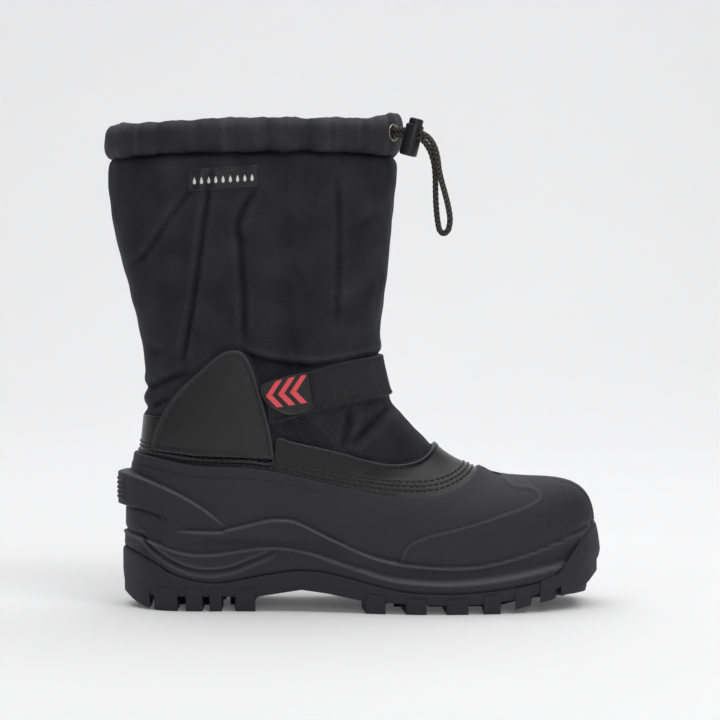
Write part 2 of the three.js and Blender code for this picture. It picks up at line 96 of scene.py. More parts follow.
def addNode(tree, kind, inputs=None, **settings):
    made = tree.nodes.new(kind)
    for name, value in settings.items():
        setattr(made, name, value)
    for name, value in (inputs or {}).items():
        if isinstance(value, bpy.types.NodeSocket):
            tree.links.new(value, made.inputs[name])
        else:
            made.inputs[name].default_value = value
    return made


def newMaterial(name):
    material = bpy.data.materials.new(name)
    material.use_nodes = True
    tree = material.node_tree
    return material, tree, tree.nodes["Principled BSDF"]


def mathNode(tree, operation, *values, **settings):
    inputs = dict(enumerate(values))
    return addNode(tree, "ShaderNodeMath", inputs, operation=operation, **settings).outputs[0]


def mixColours(tree, factor, first, second):
    # Each colour is a hex code or another node's output
    first, second = (hexColour(colour) if isinstance(colour, str) else colour for colour in (first, second))
    return addNode(tree, "ShaderNodeMix", {0: factor, 6: first, 7: second}, data_type="RGBA").outputs[2]


def withPaintedLight(tree, colour, values):
    # Painted light from a per-point value on the piece: below 0 the colour goes towards a painted shade in its
    # creases, above 0 towards a painted highlight on its raised edges (on the cloth it also holds a little random
    # tone)
    paintedLightAndTone = addNode(tree, "ShaderNodeAttribute", attribute_name="paintedLightAndTone")
    for way, name, usual in ((-1.0, "creaseShade", "#060607"), (1.0, "edge", "#4A4A4E")):
        share = mathNode(tree, "MULTIPLY", paintedLightAndTone.outputs["Fac"], way, use_clamp=True)
        colour = mixColours(tree, share, colour, values.get(name, usual))
    return colour


def addBump(tree, shader, height, strength, distance):
    bumped = addNode(tree, "ShaderNodeBump", {"Height": height, "Strength": strength, "Distance": distance * mm})
    tree.links.new(bumped.outputs[0], shader.inputs["Normal"])


def addColour(tree, shader, share, values):
    # The material's dark and light tone by this share, then the piece's painted shade and highlight
    colour = withPaintedLight(tree, mixColours(tree, share, values["dark"], values["light"]), values)
    tree.links.new(colour, shader.inputs["Base Color"])


def setInputs(shader, values):
    for name, value in values.items():
        shader.inputs[name].default_value = value


def setMask(piece, name, values):
    # Writes a value at each of a piece's first points; the rest stay at 0
    mask = piece.data.attributes.new(name, "FLOAT", "POINT")
    written = np.zeros(len(piece.data.vertices), np.float32)
    written[:values.size] = np.clip(values, -1, 1).ravel()
    mask.data.foreach_set("value", written)


# Stores the piece's painted shade and highlight, read by the materials' colour
def setPaintedLight(piece, values):
    setMask(piece, "paintedLightAndTone", values)


def waveScale(pitch):
    # A Wave texture's scale for bands this many millimetres apart
    return 2 * math.pi / 20 / (pitch * mm)


def makeTwill(name, values):
    # Coated nylon twill: slanting ribs in the weave catch a thin grey light on near-black cloth
    material, tree, shader = newMaterial(name)
    uv = addNode(tree, "ShaderNodeUVMap", uv_map="UVMap").outputs[0]
    slant = (0, 0, math.radians(values["slant"]))
    slanted = addNode(tree, "ShaderNodeMapping", {"Vector": uv, "Rotation": slant}).outputs[0]
    ribs = addNode(tree, "ShaderNodeTexWave", {
        "Vector": slanted, "Scale": waveScale(values["pitch"]), "Distortion": 0.35, "Detail": 1.0,
        "Detail Scale": 3.0}, wave_type="BANDS", bands_direction="X").outputs["Fac"]
    crossed = addNode(tree, "ShaderNodeTexWave", {
        "Vector": slanted, "Scale": waveScale(values["pitch"] * 0.8)},
        wave_type="BANDS", bands_direction="Y").outputs["Fac"]
    cloud = addNode(tree, "ShaderNodeTexNoise", {"Vector": uv, "Scale": 45.0, "Detail": 4.0}).outputs["Fac"]
    addColour(tree, shader, mathNode(tree, "MULTIPLY", ribs, cloud), values)
    weave = mathNode(tree, "MULTIPLY_ADD", ribs, crossed, 0.25)
    addBump(tree, shader, weave, values["bump"], 0.6)
    setInputs(shader, {"Roughness": values["roughness"], "Specular IOR Level": 0.2})
    return material


def makeRubber(name, values):
    # Moulded rubber: a fine spark-eroded grain, with a coarser pebble where the mask is set
    material, tree, shader = newMaterial(name)
    place = addNode(tree, "ShaderNodeTexCoord").outputs["Object"]
    fine = addNode(tree, "ShaderNodeTexNoise", {
        "Vector": place, "Scale": 1 / (values["grain"] * mm), "Detail": 3.0}).outputs["Fac"]
    pebble = addNode(tree, "ShaderNodeTexVoronoi", {
        "Vector": place, "Scale": 1 / (values["pebble"] * mm), "Randomness": 0.9},
        feature="SMOOTH_F1").outputs["Distance"]
    mask = addNode(tree, "ShaderNodeAttribute", attribute_name="pebbled").outputs["Fac"]
    height = mathNode(tree, "MULTIPLY_ADD", mathNode(tree, "MULTIPLY", pebble, mask), -1.6, fine)
    addBump(tree, shader, height, values["bump"], 0.5)
    cloud = addNode(tree, "ShaderNodeTexNoise", {"Vector": place, "Scale": 14.0, "Detail": 5.0}).outputs["Fac"]
    addColour(tree, shader, cloud, values)
    gloss = addNode(tree, "ShaderNodeMapRange", {
        "Value": cloud, "To Min": values["roughness"] - 0.05, "To Max": values["roughness"] + 0.06})
    tree.links.new(gloss.outputs[0], shader.inputs["Roughness"])
    setInputs(shader, {"Specular IOR Level": values["specular"]})
    return material


def makeLeather(name, values):
    # Coated leather: small grain cells under a polyurethane film, soft highlights
    material, tree, shader = newMaterial(name)
    place = addNode(tree, "ShaderNodeTexCoord").outputs["Object"]
    cells = addNode(tree, "ShaderNodeTexVoronoi", {
        "Vector": place, "Scale": 1 / (values["grain"] * mm)}, feature="DISTANCE_TO_EDGE").outputs["Distance"]
    edges = addNode(tree, "ShaderNodeMapRange", {"Value": cells, "From Max": 0.25}).outputs[0]
    wrinkle = addNode(tree, "ShaderNodeTexNoise", {
        "Vector": place, "Scale": 260.0, "Detail": 4.0}).outputs["Fac"]
    addBump(tree, shader, mathNode(tree, "MULTIPLY_ADD", wrinkle, 0.7, edges), values["bump"], 0.3)
    cloud = addNode(tree, "ShaderNodeTexNoise", {"Vector": place, "Scale": 25.0, "Detail": 3.0}).outputs["Fac"]
    addColour(tree, shader, cloud, values)
    setInputs(shader, {
        "Roughness": values["roughness"], "Specular IOR Level": values["specular"],
        "Coat Weight": values["coat"], "Coat Roughness": 0.35})
    return material


def makeThreaded(name, values):
    # Webbing, thread and braid: fine fibres along the piece's own UV, dull with a little sheen
    material, tree, shader = newMaterial(name)
    uv = addNode(tree, "ShaderNodeUVMap", uv_map="UVMap").outputs[0]
    fibre = addNode(tree, "ShaderNodeTexNoise", {
        "Vector": uv, "Scale": values["fibre"], "Detail": 3.0}).outputs["Fac"]
    addColour(tree, shader, fibre, values)
    addBump(tree, shader, fibre, values["bump"], 0.2)
    setInputs(shader, {"Roughness": values["roughness"], "Specular IOR Level": 0.4, "Sheen Weight": 0.1})
    return material


def makePlain(name, values):
    # Moulded plastic, enamel or cast metal: nearly even, with a faint speckle
    material, tree, shader = newMaterial(name)
    place = addNode(tree, "ShaderNodeTexCoord").outputs["Object"]
    speck = addNode(tree, "ShaderNodeTexNoise", {
        "Vector": place, "Scale": values["speck"], "Detail": 4.0}).outputs["Fac"]
    tree.links.new(mixColours(tree, speck, values["dark"], values["light"]), shader.inputs["Base Color"])
    addBump(tree, shader, speck, values["bump"], 0.2)
    setInputs(shader, {"Roughness": values["roughness"], "Metallic": values["metallic"]})
    return material


# Where a material below lists a crease and an edge colour, these are a painted shade for creases and a painted
# highlight for raised edges, mixed in by each piece's per-point value
# Near-black cloth with grey ribs, so that the shaft looks woven and takes soft light in its folds
nylonTwill = makeTwill("coatedNylonTwill", {
    "slant": 40, "pitch": 1.35, "dark": "#19191C", "light": "#525258", "creaseShade": "#08080A", "edge": "#5A5A63",
    "bump": 0.6, "roughness": 0.62})
# Matte charcoal, pebbled over the toe, so that the foot looks moulded in one go
shellRubber = makeRubber("mouldedShellRubber", {
    "grain": 1.2, "pebble": 2.3, "bump": 0.6, "dark": "#2D2C2F", "light": "#343337",
    "creaseShade": "#121214", "edge": "#626166", "roughness": 0.58, "specular": 0.26})
# A little darker and harder than the shell above it
outsoleRubber = makeRubber("vulcanisedOutsoleRubber", {
    "grain": 1.4, "pebble": 2.4, "bump": 0.6, "dark": "#2A292C", "light": "#323135",
    "creaseShade": "#101012", "edge": "#58575C", "roughness": 0.6, "specular": 0.28})
# The one glossy leather: a soft bright streak along the rand
bandLeather = makeLeather("coatedBandLeather", {
    "grain": 0.9, "bump": 0.25, "dark": "#0F0F11", "light": "#161618", "creaseShade": "#020203", "edge": "#333336",
    "roughness": 0.3, "specular": 0.3, "coat": 0.15})
# Smooth dull leather, lighter than the band round it
patchLeather = makeLeather("mattePatchLeather", {
    "grain": 0.8, "bump": 0.18, "dark": "#1C1C1E", "light": "#232325", "creaseShade": "#060607", "edge": "#3E3E41",
    "roughness": 0.5, "specular": 0.42, "coat": 0.0})
# Black webbing whose ribs are lit along their tops
webbingNylon = makeThreaded("nylonWebbing", {
    "fibre": 900, "dark": "#0D0D0F", "light": "#29292C", "edge": "#47474C", "bump": 0.5, "roughness": 0.7})
# Thread darker than everything it is sewn into
threadPolyester = makeThreaded("bondedPolyesterThread", {
    "fibre": 500, "dark": "#060607", "light": "#2A2A2D", "bump": 0.3, "roughness": 0.5})
# Warm black braid, with a painted highlight on its strand tops
cordPolyester = makeThreaded("braidedPolyesterCord", {
    "fibre": 700, "dark": "#0F0E0E", "light": "#2A2827", "edge": "#6B6763", "bump": 0.5, "roughness": 0.65})
# Dull grey lining, paler than the cloth outside
felt = makeThreaded("needledFelt", {
    "fibre": 1500, "dark": "#2A2A2B", "light": "#4C4C4D", "bump": 0.9, "roughness": 0.95})
# Black satin, smoother than the shaft under it
labelSatin = makeThreaded("wovenLabelSatin", {
    "fibre": 1200, "dark": "#141416", "light": "#242427", "bump": 0.4, "roughness": 0.45})
# Black moulded pad that carries the badge
tabRubber = makePlain("mouldedTabRubber", {
    "speck": 900, "dark": "#0E0E10", "light": "#19191B", "bump": 0.3, "roughness": 0.5, "metallic": 0})
# Coral red, the only strong colour
badgeRubber = makePlain("redMouldedRubber", {
    "speck": 900, "dark": "#E2404C", "light": "#F4606A", "bump": 0.3, "roughness": 0.5, "metallic": 0})
# Small white marks on the label
whitePrint = makePlain("whitePrint", {
    "speck": 1500, "dark": "#D8D8D8", "light": "#F2F2F2", "bump": 0.2, "roughness": 0.6, "metallic": 0})
# Black plastic with a tighter highlight than the rubber
lockPlastic = makePlain("acetalLockPlastic", {
    "speck": 1100, "dark": "#0F0F11", "light": "#17171A", "bump": 0.2, "roughness": 0.42, "metallic": 0})
# Grey-brown metal with a bright rim
agedBrass = makePlain("agedBrass", {
    "speck": 700, "dark": "#6A625A", "light": "#A79F96", "bump": 0.2, "roughness": 0.28, "metallic": 1})

# The boot's form, in millimetres

# Each row is one cut through the boot, from the collar down and forward to the toe: its low and high end in the
# side view, its half widths, its shift to the inner side, where it is widest, how square it is, and the shell's
# growth at its low end
rowNames = [
    "lowX", "lowZ", "highX", "highZ", "lateral", "medial", "shift", "widest", "lowPower", "highPower", "shellLow"]
sectionRows = np.array([
    [-164.5, 340, 27.5, 340, 50, 50, 0, 0.5, 2.3, 2.3, 5.6],
    [-166, 297, 24.8, 297.5, 49.5, 49.5, 0, 0.5, 2.3, 2.3, 5.6],
    [-162.8, 262, 21.3, 264, 48.5, 48.5, 0, 0.5, 2.3, 2.3, 5.6],
    [-155, 226, 17.5, 229, 47, 47, 0, 0.5, 2.3, 2.3, 5.6],
    [-146.5, 189, 13.5, 196, 45.5, 45.5, 0, 0.5, 2.3, 2.3, 5.6],
    [-142, 160, 12.7, 169, 44, 44, 0, 0.5, 2.3, 2.3, 5.6],
    [-141.3, 133, 16, 150, 43, 43, 0, 0.5, 2.4, 2.3, 5.6],
    [-143.5, 108, 22, 134.5, 42, 42, 0, 0.5, 2.5, 2.2, 5.6],
    [-146, 86, 30, 124.8, 41, 41, 0, 0.5, 2.5, 2.2, 6.5],
    [-147, 66, 38.5, 115.8, 40.5, 40.5, 0, 0.5, 2.5, 2.2, 8],
    [-146.5, 48, 46.5, 107.5, 40.5, 40.5, 0, 0.48, 2.6, 2.2, 9],
    [-139, 35, 54, 100.6, 41, 40.5, 0, 0.46, 2.9, 2.2, 20],
    [-113, 33, 62, 95.4, 41.5, 40.5, 0, 0.45, 3.2, 2.2, 17],
    [-78, 32, 70, 91.6, 43, 41.5, 0, 0.45, 3.2, 2.2, 15.5],
    [-40, 29, 78, 87.2, 46, 43.5, 0, 0.45, 3.2, 2.2, 9],
    [-3, 25, 86.5, 82, 49, 46, 0, 0.44, 3.2, 2.3, 10.5],
    [30, 22.5, 95, 79.8, 49.5, 47, 0.5, 0.42, 3.2, 2.4, 11],
    [58, 22, 103.5, 78.6, 48.5, 47, 1, 0.4, 3.2, 2.4, 10.5],
    [82, 23, 112.5, 78.3, 45.5, 45, 2, 0.4, 3.2, 2.4, 10],
    [103, 25.3, 121.5, 78.1, 41, 42, 3, 0.4, 3.2, 2.4, 10],
    [121, 28.6, 130, 77.4, 35, 37, 4, 0.4, 3, 2.4, 9],
    [134, 32.5, 138, 75.8, 28, 30.5, 5, 0.42, 2.7, 2.4, 8],
    [142.5, 37, 144, 72.3, 20, 22.5, 5.5, 0.45, 2.4, 2.3, 6.6],
    [147.3, 43, 147.8, 66.5, 12, 13.5, 6, 0.5, 2.2, 2.2, 6],
    [149.7, 50.5, 149.7, 58.5, 4, 5, 6, 0.5, 2, 2, 5.6],
])
lastRow = len(sectionRows) - 1
column = {name: i for i, name in enumerate(rowNames)}
shellGrowth = 5.6
gap = 0.3


def lineNormals(xName, zName, side):
    points = sectionRows[:, [column[xName], column[zName]]]
    ahead = np.gradient(points, axis=0)
    ahead[1:-1] = points[2:] - points[:-2]
    ahead /= np.linalg.norm(ahead, axis=1)[:, None]
    return np.stack([side * ahead[:, 1], -side * ahead[:, 0]], axis=1)


allRows = np.hstack([sectionRows, lineNormals("lowX", "lowZ", 1), lineNormals("highX", "highZ", -1)])
for i, name in enumerate(["lowNormalX", "lowNormalZ", "highNormalX", "highNormalZ"]):
    column[name] = len(rowNames) + i


def bend(p0, p1, p2, p3, f):
    # The smooth curve from p1 to p2 that also heeds their neighbours
    square = (2 * p0 - 5 * p1 + 4 * p2 - p3) * f ** 2
    cube = (3 * p1 - p0 - 3 * p2 + p3) * f ** 3
    return 0.5 * (2 * p1 + (p2 - p0) * f + square + cube)


def throughPoints(points, s):
    # Places s along a smooth curve through the points, which are at 0, 1, 2 and so on
    last = len(points) - 1
    i = np.clip(np.floor(s).astype(int), 0, last - 1)
    near = [points[np.clip(i + k, 0, last)] for k in (-1, 0, 1, 2)]
    return bend(*near, (s - i)[..., None])


def rowsAt(s):
    # Smooth rows between the table's
    return throughPoints(allRows, np.clip(np.asarray(s, float), 0, lastRow))


def signedPower(value, power):
    return np.sign(value) * np.abs(value) ** power


def formAt(s, angle, growth, lowGrowth=None):
    # Points of the boot's form in row s, at an angle round its section, grown outwards
    rows = rowsAt(s)
    get = lambda name: rows[..., column[name]]
    low = growth if lowGrowth is None else lowGrowth
    lowX = get("lowX") + get("lowNormalX") * low
    lowZ = get("lowZ") + get("lowNormalZ") * low
    highX = get("highX") + get("highNormalX") * growth
    highZ = get("highZ") + get("highNormalZ") * growth
    power = 2 / np.where(np.cos(angle) > 0, get("lowPower"), get("highPower"))
    along = signedPower(np.cos(angle), power)
    across = signedPower(np.sin(angle), power)
    widest = get("widest")
    u = np.where(along > 0, widest * (1 - along), widest - (1 - widest) * along)
    half = np.where(across > 0, get("lateral"), get("medial")) + growth
    y = get("shift") - across * half
    return np.stack([lowX + (highX - lowX) * u, y, lowZ + (highZ - lowZ) * u], axis=-1)


# Angles that space the columns evenly around each section
denseRows = np.linspace(0, lastRow, lastRow * 8 + 1)
halfColumns = 160


def runOf(points, axis=0):
    # Distance run along a line of points, or along one axis of a grid of them
    steps = np.diff(points, axis=axis, prepend=np.take(points, [0], axis=axis))
    return np.cumsum(np.linalg.norm(steps, axis=-1), axis=axis)


def evenAngles():
    fine = np.linspace(0, math.pi, 721)
    table = []
    for start in (0.0, math.pi):
        points = formAt(denseRows[:, None], (fine + start)[None, :], 2.0)
        part = [np.interp(np.linspace(0, a[-1], halfColumns + 1), a, fine + start) for a in runOf(points, 1)]
        table.append(np.array(part))
    return np.hstack([table[0], table[1][:, 1:]])


angleTable = evenAngles()


def angleAt(s, t):
    row = np.clip(np.asarray(s, float), 0, lastRow) * 8
    col = np.asarray(t, float) * 2 * halfColumns
    r0 = np.clip(np.floor(row).astype(int), 0, len(denseRows) - 2)
    c0 = np.clip(np.floor(col).astype(int), 0, 2 * halfColumns - 1)
    fr, fc = row - r0, col - c0
    top = angleTable[r0, c0] * (1 - fc) + angleTable[r0, c0 + 1] * fc
    bottom = angleTable[r0 + 1, c0] * (1 - fc) + angleTable[r0 + 1, c0 + 1] * fc
    return top * (1 - fr) + bottom * fr


def surface(s, t, growth, shell=False):
    # The same, with t from 0 to 1 in even steps round each section
    low = rowsAt(s)[..., column["shellLow"]] + growth - shellGrowth if shell else None
    return formAt(s, angleAt(s, t), growth, low)


def crossing(line, t, growth, shell=False):
    # Where each column first passes below a side-view line
    t = np.asarray(t, float)
    points = surface(denseRows[:, None], t[None, :], growth, shell)
    over = points[..., 2] - np.interp(points[..., 0], line[:, 0], line[:, 1])
    found = np.zeros(len(t))
    for j in range(len(t)):
        k = np.argmax(over[:, j] <= 0)
        a, b = over[k - 1, j], over[k, j]
        found[j] = denseRows[k - 1] + (denseRows[k] - denseRows[k - 1]) * a / (a - b)
    return found


def smoothLine(points, count=160):
    # A curve through a few points
    return throughPoints(np.array(points, float), np.linspace(0, len(points) - 1, count))


# Side-view lines, X and Z, heel to toe
shellLip = smoothLine([
    [-175, 105], [-141, 101], [-108, 95.5], [-70, 94], [-43, 89.3], [-14, 82.5],
    [14, 77], [38, 75.6], [54, 77.6], [68, 83.5], [78, 92], [86, 104]])
upperWave = smoothLine([
    [-175, 54.4], [-98, 52.5], [-85, 54.4], [-61, 60], [-52, 60.6], [-41, 59], [-18, 48],
    [10, 36.6], [39, 31.7], [73, 31], [108, 38], [145, 51], [175, 63]])
lowerWave = smoothLine([
    [-175, 53], [-143, 47], [-120, 39.5], [-98, 37.5], [-61, 42], [-34, 39.4], [0, 29.8],
    [21.5, 24.5], [56, 22.4], [90, 25.7], [126, 32], [145, 38], [175, 52]])
outsoleTop = smoothLine([
    [-175, 43], [-143, 35], [-120, 23.4], [-93, 18.8], [-61, 24.4], [-40, 27.2], [-18, 25.5],
    [21.5, 16], [50, 13.8], [84.5, 15.3], [120, 21], [133, 28.5], [144, 41.5], [153, 51.5], [175, 58]])
outsoleRoof = np.array([
    [-175, 20], [-150, 11.5], [-137, 9.5], [-68, 9.5], [-50, 12.5], [-38, 14.6], [-22, 12.6],
    [0, 8.4], [30, 6.6], [60, 5.6], [84, 6.4], [102, 9.0], [117, 12.4], [132, 15.5], [146, 20.5],
    [156, 29], [175, 48]])
lugBottom = np.array([
    [-175, 24], [-158, 11.6], [-155, 8.9], [-151, 6.0], [-146, 3.5], [-141, 1.6], [-136, 0.5], [-130, 0],
    [92, 0], [104, 3.4], [120, 6.6], [137, 10.8], [150, 16.4], [158, 24], [175, 42]])
lugTop = np.array([
    [-175, 30], [-150, 20], [-137, 15.5], [-75, 15], [-40, 17], [0, 13.5], [27, 10.6], [54, 9.4],
    [80, 11.6], [104, 16.5], [121, 22], [140, 29], [175, 50]])
collarSeam = smoothLine([
    [-190, 294.2], [-166, 294.6], [-100, 297.6], [-40, 298.2], [0, 297.6], [26, 295.6], [60, 295]])
collarTop = smoothLine([
    [-190, 315.5], [-167, 315.8], [-151, 317.2], [-119, 319.2], [-60, 321], [-8, 321], [12, 321.8],
    [21, 325], [27, 324.6], [60, 320]])


def smoothStep(x, low, high):
    f = np.clip((x - low) / (high - low), 0, 1)
    return f * f * (3 - 2 * f)


def bump(distance, width):
    return np.exp(-(distance / width) ** 2)


def heightOver(points, line):
    return points[..., 2] - np.interp(points[..., 0], line[:, 0], line[:, 1])


def nearest(points, line, closed=False):
    # Side-view distance to a line, how far along it that is in millimetres, and the line's length
    q = points[..., [0, 2]].reshape(-1, 2)
    a = np.array(line, float)
    a = np.vstack([a, a[:1]]) if closed else a
    starts = runOf(a)
    best, along = np.full(len(q), 1e9), np.zeros(len(q))
    for k in range(len(a) - 1):
        d = a[k + 1] - a[k]
        f = np.clip(((q - a[k]) @ d) / max(d @ d, 1e-9), 0, 1)
        r = np.linalg.norm(q - (a[k] + f[:, None] * d), axis=1)
        closer = r < best
        best[closer], along[closer] = r[closer], (starts[k] + f * np.linalg.norm(d))[closer]
    shape = points.shape[:-1]
    return best.reshape(shape), along.reshape(shape), starts[-1]


def insideOf(points, outline):
    # Whether points are inside a closed side-view outline
    q = points[..., [0, 2]].reshape(-1, 2)
    a = np.array(outline, float)
    b = np.roll(a, -1, axis=0)
    odd = np.zeros(len(q), bool)
    for (x0, z0), (x1, z1) in zip(a, b):
        if z0 == z1:
            continue
        crossed = (z0 > q[:, 1]) != (z1 > q[:, 1])
        odd ^= crossed & (q[:, 0] < x0 + (q[:, 1] - z0) * (x1 - x0) / (z1 - z0))
    return odd.reshape(points.shape[:-1])


def signedInside(points, outline):
    d = nearest(points, outline, closed=True)[0]
    return np.where(insideOf(points, outline), d, -d)


def gridNormals(points, wrap=True):
    down = np.gradient(points, axis=0)
    if wrap:
        around = np.roll(points, -1, axis=1) - np.roll(points, 1, axis=1)
    else:
        around = np.gradient(points, axis=1)
    normal = np.cross(around, down)
    normal /= np.linalg.norm(normal, axis=2)[..., None] + 1e-9
    return -normal if np.sum(normal[..., 1] * points[..., 1]) < 0 else normal


# Meshes and pieces

def gridFaces(rowCount, colCount, start=0, wrap=True, flip=False):
    r, c = np.meshgrid(np.arange(rowCount - 1), np.arange(colCount if wrap else colCount - 1), indexing="ij")
    n = (c + 1) % colCount
    quads = np.stack([r * colCount + c, (r + 1) * colCount + c, (r + 1) * colCount + n, r * colCount + n], axis=-1)
    quads = quads.reshape(-1, 4) + start
    return quads[:, ::-1] if flip else quads


def placed(name, data):
    # A new object, put in the scene
    obj = bpy.data.objects.new(name, data)
    bpy.context.scene.collection.objects.link(obj)
    return obj


def newPiece(name, points, faces, materials, uv=None, slots=None):
    mesh = bpy.data.meshes.new(name)
    mesh.from_pydata([tuple(p) for p in toFrame(points)], [], [list(map(int, f)) for f in faces])
    for material in materials:
        mesh.materials.append(material)
    if uv is not None:
        layer = mesh.uv_layers.new(name="UVMap")
        corners = np.zeros(len(mesh.loops), int)
        mesh.loops.foreach_get("vertex_index", corners)
        layer.data.foreach_set("uv", (np.asarray(uv)[corners] * mm).astype(np.float32).ravel())
    if slots is not None:
        mesh.polygons.foreach_set("material_index", np.asarray(slots, np.int32))
    mesh.validate()
    mesh.update()
    mesh.shade_smooth()
    return placed(name, mesh)


def fromBmesh(made, name, place=None):
    # A piece from faces built in millimetres, moved by its own matrix first if it has one
    bmesh.ops.recalc_face_normals(made, faces=made.faces)
    mesh = bpy.data.meshes.new(name)
    made.to_mesh(mesh)
    made.free()
    if place is not None:
        mesh.transform(place)
    mesh.transform(Matrix.Translation(Vector(tableOrigin)))
    mesh.transform(Matrix.Scale(mm, 4))
    return placed(name, mesh)


def outward(obj):
    made = bmesh.new()
    made.from_mesh(obj.data)
    bmesh.ops.recalc_face_normals(made, faces=made.faces)
    made.to_mesh(obj.data)
    made.free()
    obj.data.update()
    return obj


def bevelled(obj, width, segments, degrees):
    edges = obj.modifiers.new("edges", "BEVEL")
    edges.width, edges.segments = width * mm, segments
    edges.limit_method, edges.angle_limit = "ANGLE", math.radians(degrees)
    return edges


def applied(obj):
    # Turns the modifiers' result into a plain mesh
    bpy.context.view_layer.update()
    graph = bpy.context.evaluated_depsgraph_get()
    mesh = bpy.data.meshes.new_from_object(obj.evaluated_get(graph))
    obj.modifiers.clear()
    obj.data = mesh


def finish(obj, body="boot", replaces=()):
    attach(obj, body)
    if replaces:
        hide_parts(*replaces)
    return obj


def sharpen(obj, degrees=35):
    obj.data.shade_smooth()
    obj.data.set_sharp_from_angle(angle=math.radians(degrees))
    return obj


def closedSheet(name, outer, inner, materials, uvOuter, uvInner=None, wrap=True, capLast=False):
    # A solid between an outer and an inner grid with the same columns, joined at its rims
    ro, ri, cols = len(outer), len(inner), outer.shape[1]
    points = np.concatenate([outer.reshape(-1, 3), inner.reshape(-1, 3)])
    start = ro * cols
    faces = [gridFaces(ro, cols, 0, wrap), gridFaces(ri, cols, start, wrap, flip=True)]
    step = np.arange(cols if wrap else cols - 1)
    nxt = (step + 1) % cols
    faces.append(np.stack([step, nxt, start + nxt, start + step], axis=1))
    lastOuter, lastInner = (ro - 1) * cols, start + (ri - 1) * cols
    extra = []
    if capLast:
        for base, rowPoints, flip in ((lastOuter, outer[-1], False), (lastInner, inner[-1], True)):
            centre = len(points)
            points = np.vstack([points, rowPoints.mean(axis=0)])
            fan = [[base + a, base + b, centre] for a, b in zip(step, nxt)]
            extra += [[b, a, middle] for a, b, middle in fan] if flip else fan
    else:
        faces.append(np.stack([lastOuter + nxt, lastOuter + step, lastInner + step, lastInner + nxt], axis=1))
        if not wrap:
            for c in (0, cols - 1):
                a = [r * cols + c for r in range(ro)]
                b = [start + r * cols + c for r in range(ri)]
                if ro == ri:
                    extra += [[a[k], a[k + 1], b[k + 1], b[k]] for k in range(ro - 1)]
    quads = [list(f) for part in faces for f in part] + extra
    uv = np.concatenate([uvOuter.reshape(-1, 2), (uvOuter if uvInner is None else uvInner).reshape(-1, 2)])
    uv = np.vstack([uv, np.zeros((len(points) - len(uv), 2))])
    slots = None
    if len(materials) > 1:
        innerFaces = set(range(len(faces[0]), len(faces[0]) + len(faces[1])))
        slots = [1 if k in innerFaces else 0 for k in range(len(quads))]
    return outward(newPiece(name, points, quads, materials, uv, slots))


def gridUv(points):
    # Millimetres along the rows and the columns
    rowStep = np.linalg.norm(np.diff(points, axis=0), axis=2).mean(axis=1)
    v = np.concatenate([[0], np.cumsum(rowStep)])
    colStep = np.linalg.norm(np.diff(points, axis=1), axis=2).mean(axis=0)
    u = np.concatenate([[0], np.cumsum(colStep)])
    return np.stack(np.meshgrid(u, -v), axis=-1)


columnsAround = np.arange(2 * halfColumns) / (2 * halfColumns)   # 0 at the heel, 0.5 at the front


def offsetLine(line, distance):
    # A side-view line moved sideways, upwards where the distance is positive
    ahead = np.gradient(np.array(line, float), axis=0)
    ahead /= np.linalg.norm(ahead, axis=1)[:, None]
    return line + distance * np.stack([-ahead[:, 1], ahead[:, 0]], axis=1)


def softNoise(points, size, seed, waves=10):
    # Smooth random relief about one unit high, with bumps of about the given size
    random = np.random.default_rng(seed)
    total = np.zeros(points.shape[:-1])
    for _ in range(waves):
        direction = random.normal(size=3)
        direction /= np.linalg.norm(direction)
        pace = 2 * math.pi / size * random.uniform(0.7, 1.4)
        total += np.sin(points @ direction * pace + random.uniform(0, 2 * math.pi))
    return total / math.sqrt(waves)


def evenRows(s0, s1, count, t, growth):
    # Section places that are evenly spaced down each column, from s0 to s1
    along = runOf(surface(denseRows[:, None], t[None, :], growth))
    found = np.zeros((count, len(t)))
    for j in range(len(t)):
        a0, a1 = np.interp([s0[j], s1[j]], denseRows, along[:, j])
        found[:, j] = np.interp(np.linspace(a0, a1, count), along[:, j], denseRows)
    return found


print("stage: upper, with its seams and creases")

patchOutline = smoothLine([
    [-136, 104], [-133, 117], [-127, 130], [-117, 144.5], [-107, 154], [-93, 166.5], [-83, 170.7],
    [-75.5, 168.8], [-70, 161], [-65, 145.7], [-60, 127], [-56.8, 112], [-55.2, 99.2]], 90)
patchBottom = np.array([[-75, 100.2], [-108, 101.2]])
patchClosed = np.vstack([patchOutline, patchBottom])
strapTop = smoothLine([
    [-62.5, 146], [-52, 151.5], [-33, 156.2], [-17, 161], [-2, 164], [14, 166], [30, 168.5]], 40)
strapBottom = smoothLine([
    [-58, 122.6], [-43, 126.4], [-29, 131], [-17, 133.6], [-6, 136.3], [6, 137.8], [21.5, 139.6], [36, 143]], 40)
strapClosed = np.vstack([strapTop, strapBottom[::-1]])
bandTop = smoothLine([
    [-175, 103.5], [-136.5, 103.5], [-108, 100.5], [-75, 99.5], [-57, 98.6], [-54.5, 113.6],
    [-42.5, 111], [-14, 104], [9.5, 97], [25, 95], [38, 97], [46, 103], [49.5, 112]], 12 * 14 + 1)
bandTop = np.vstack([bandTop, [[60, 118]]])
bandTop = bandTop[np.argsort(bandTop[:, 0], kind="stable")]

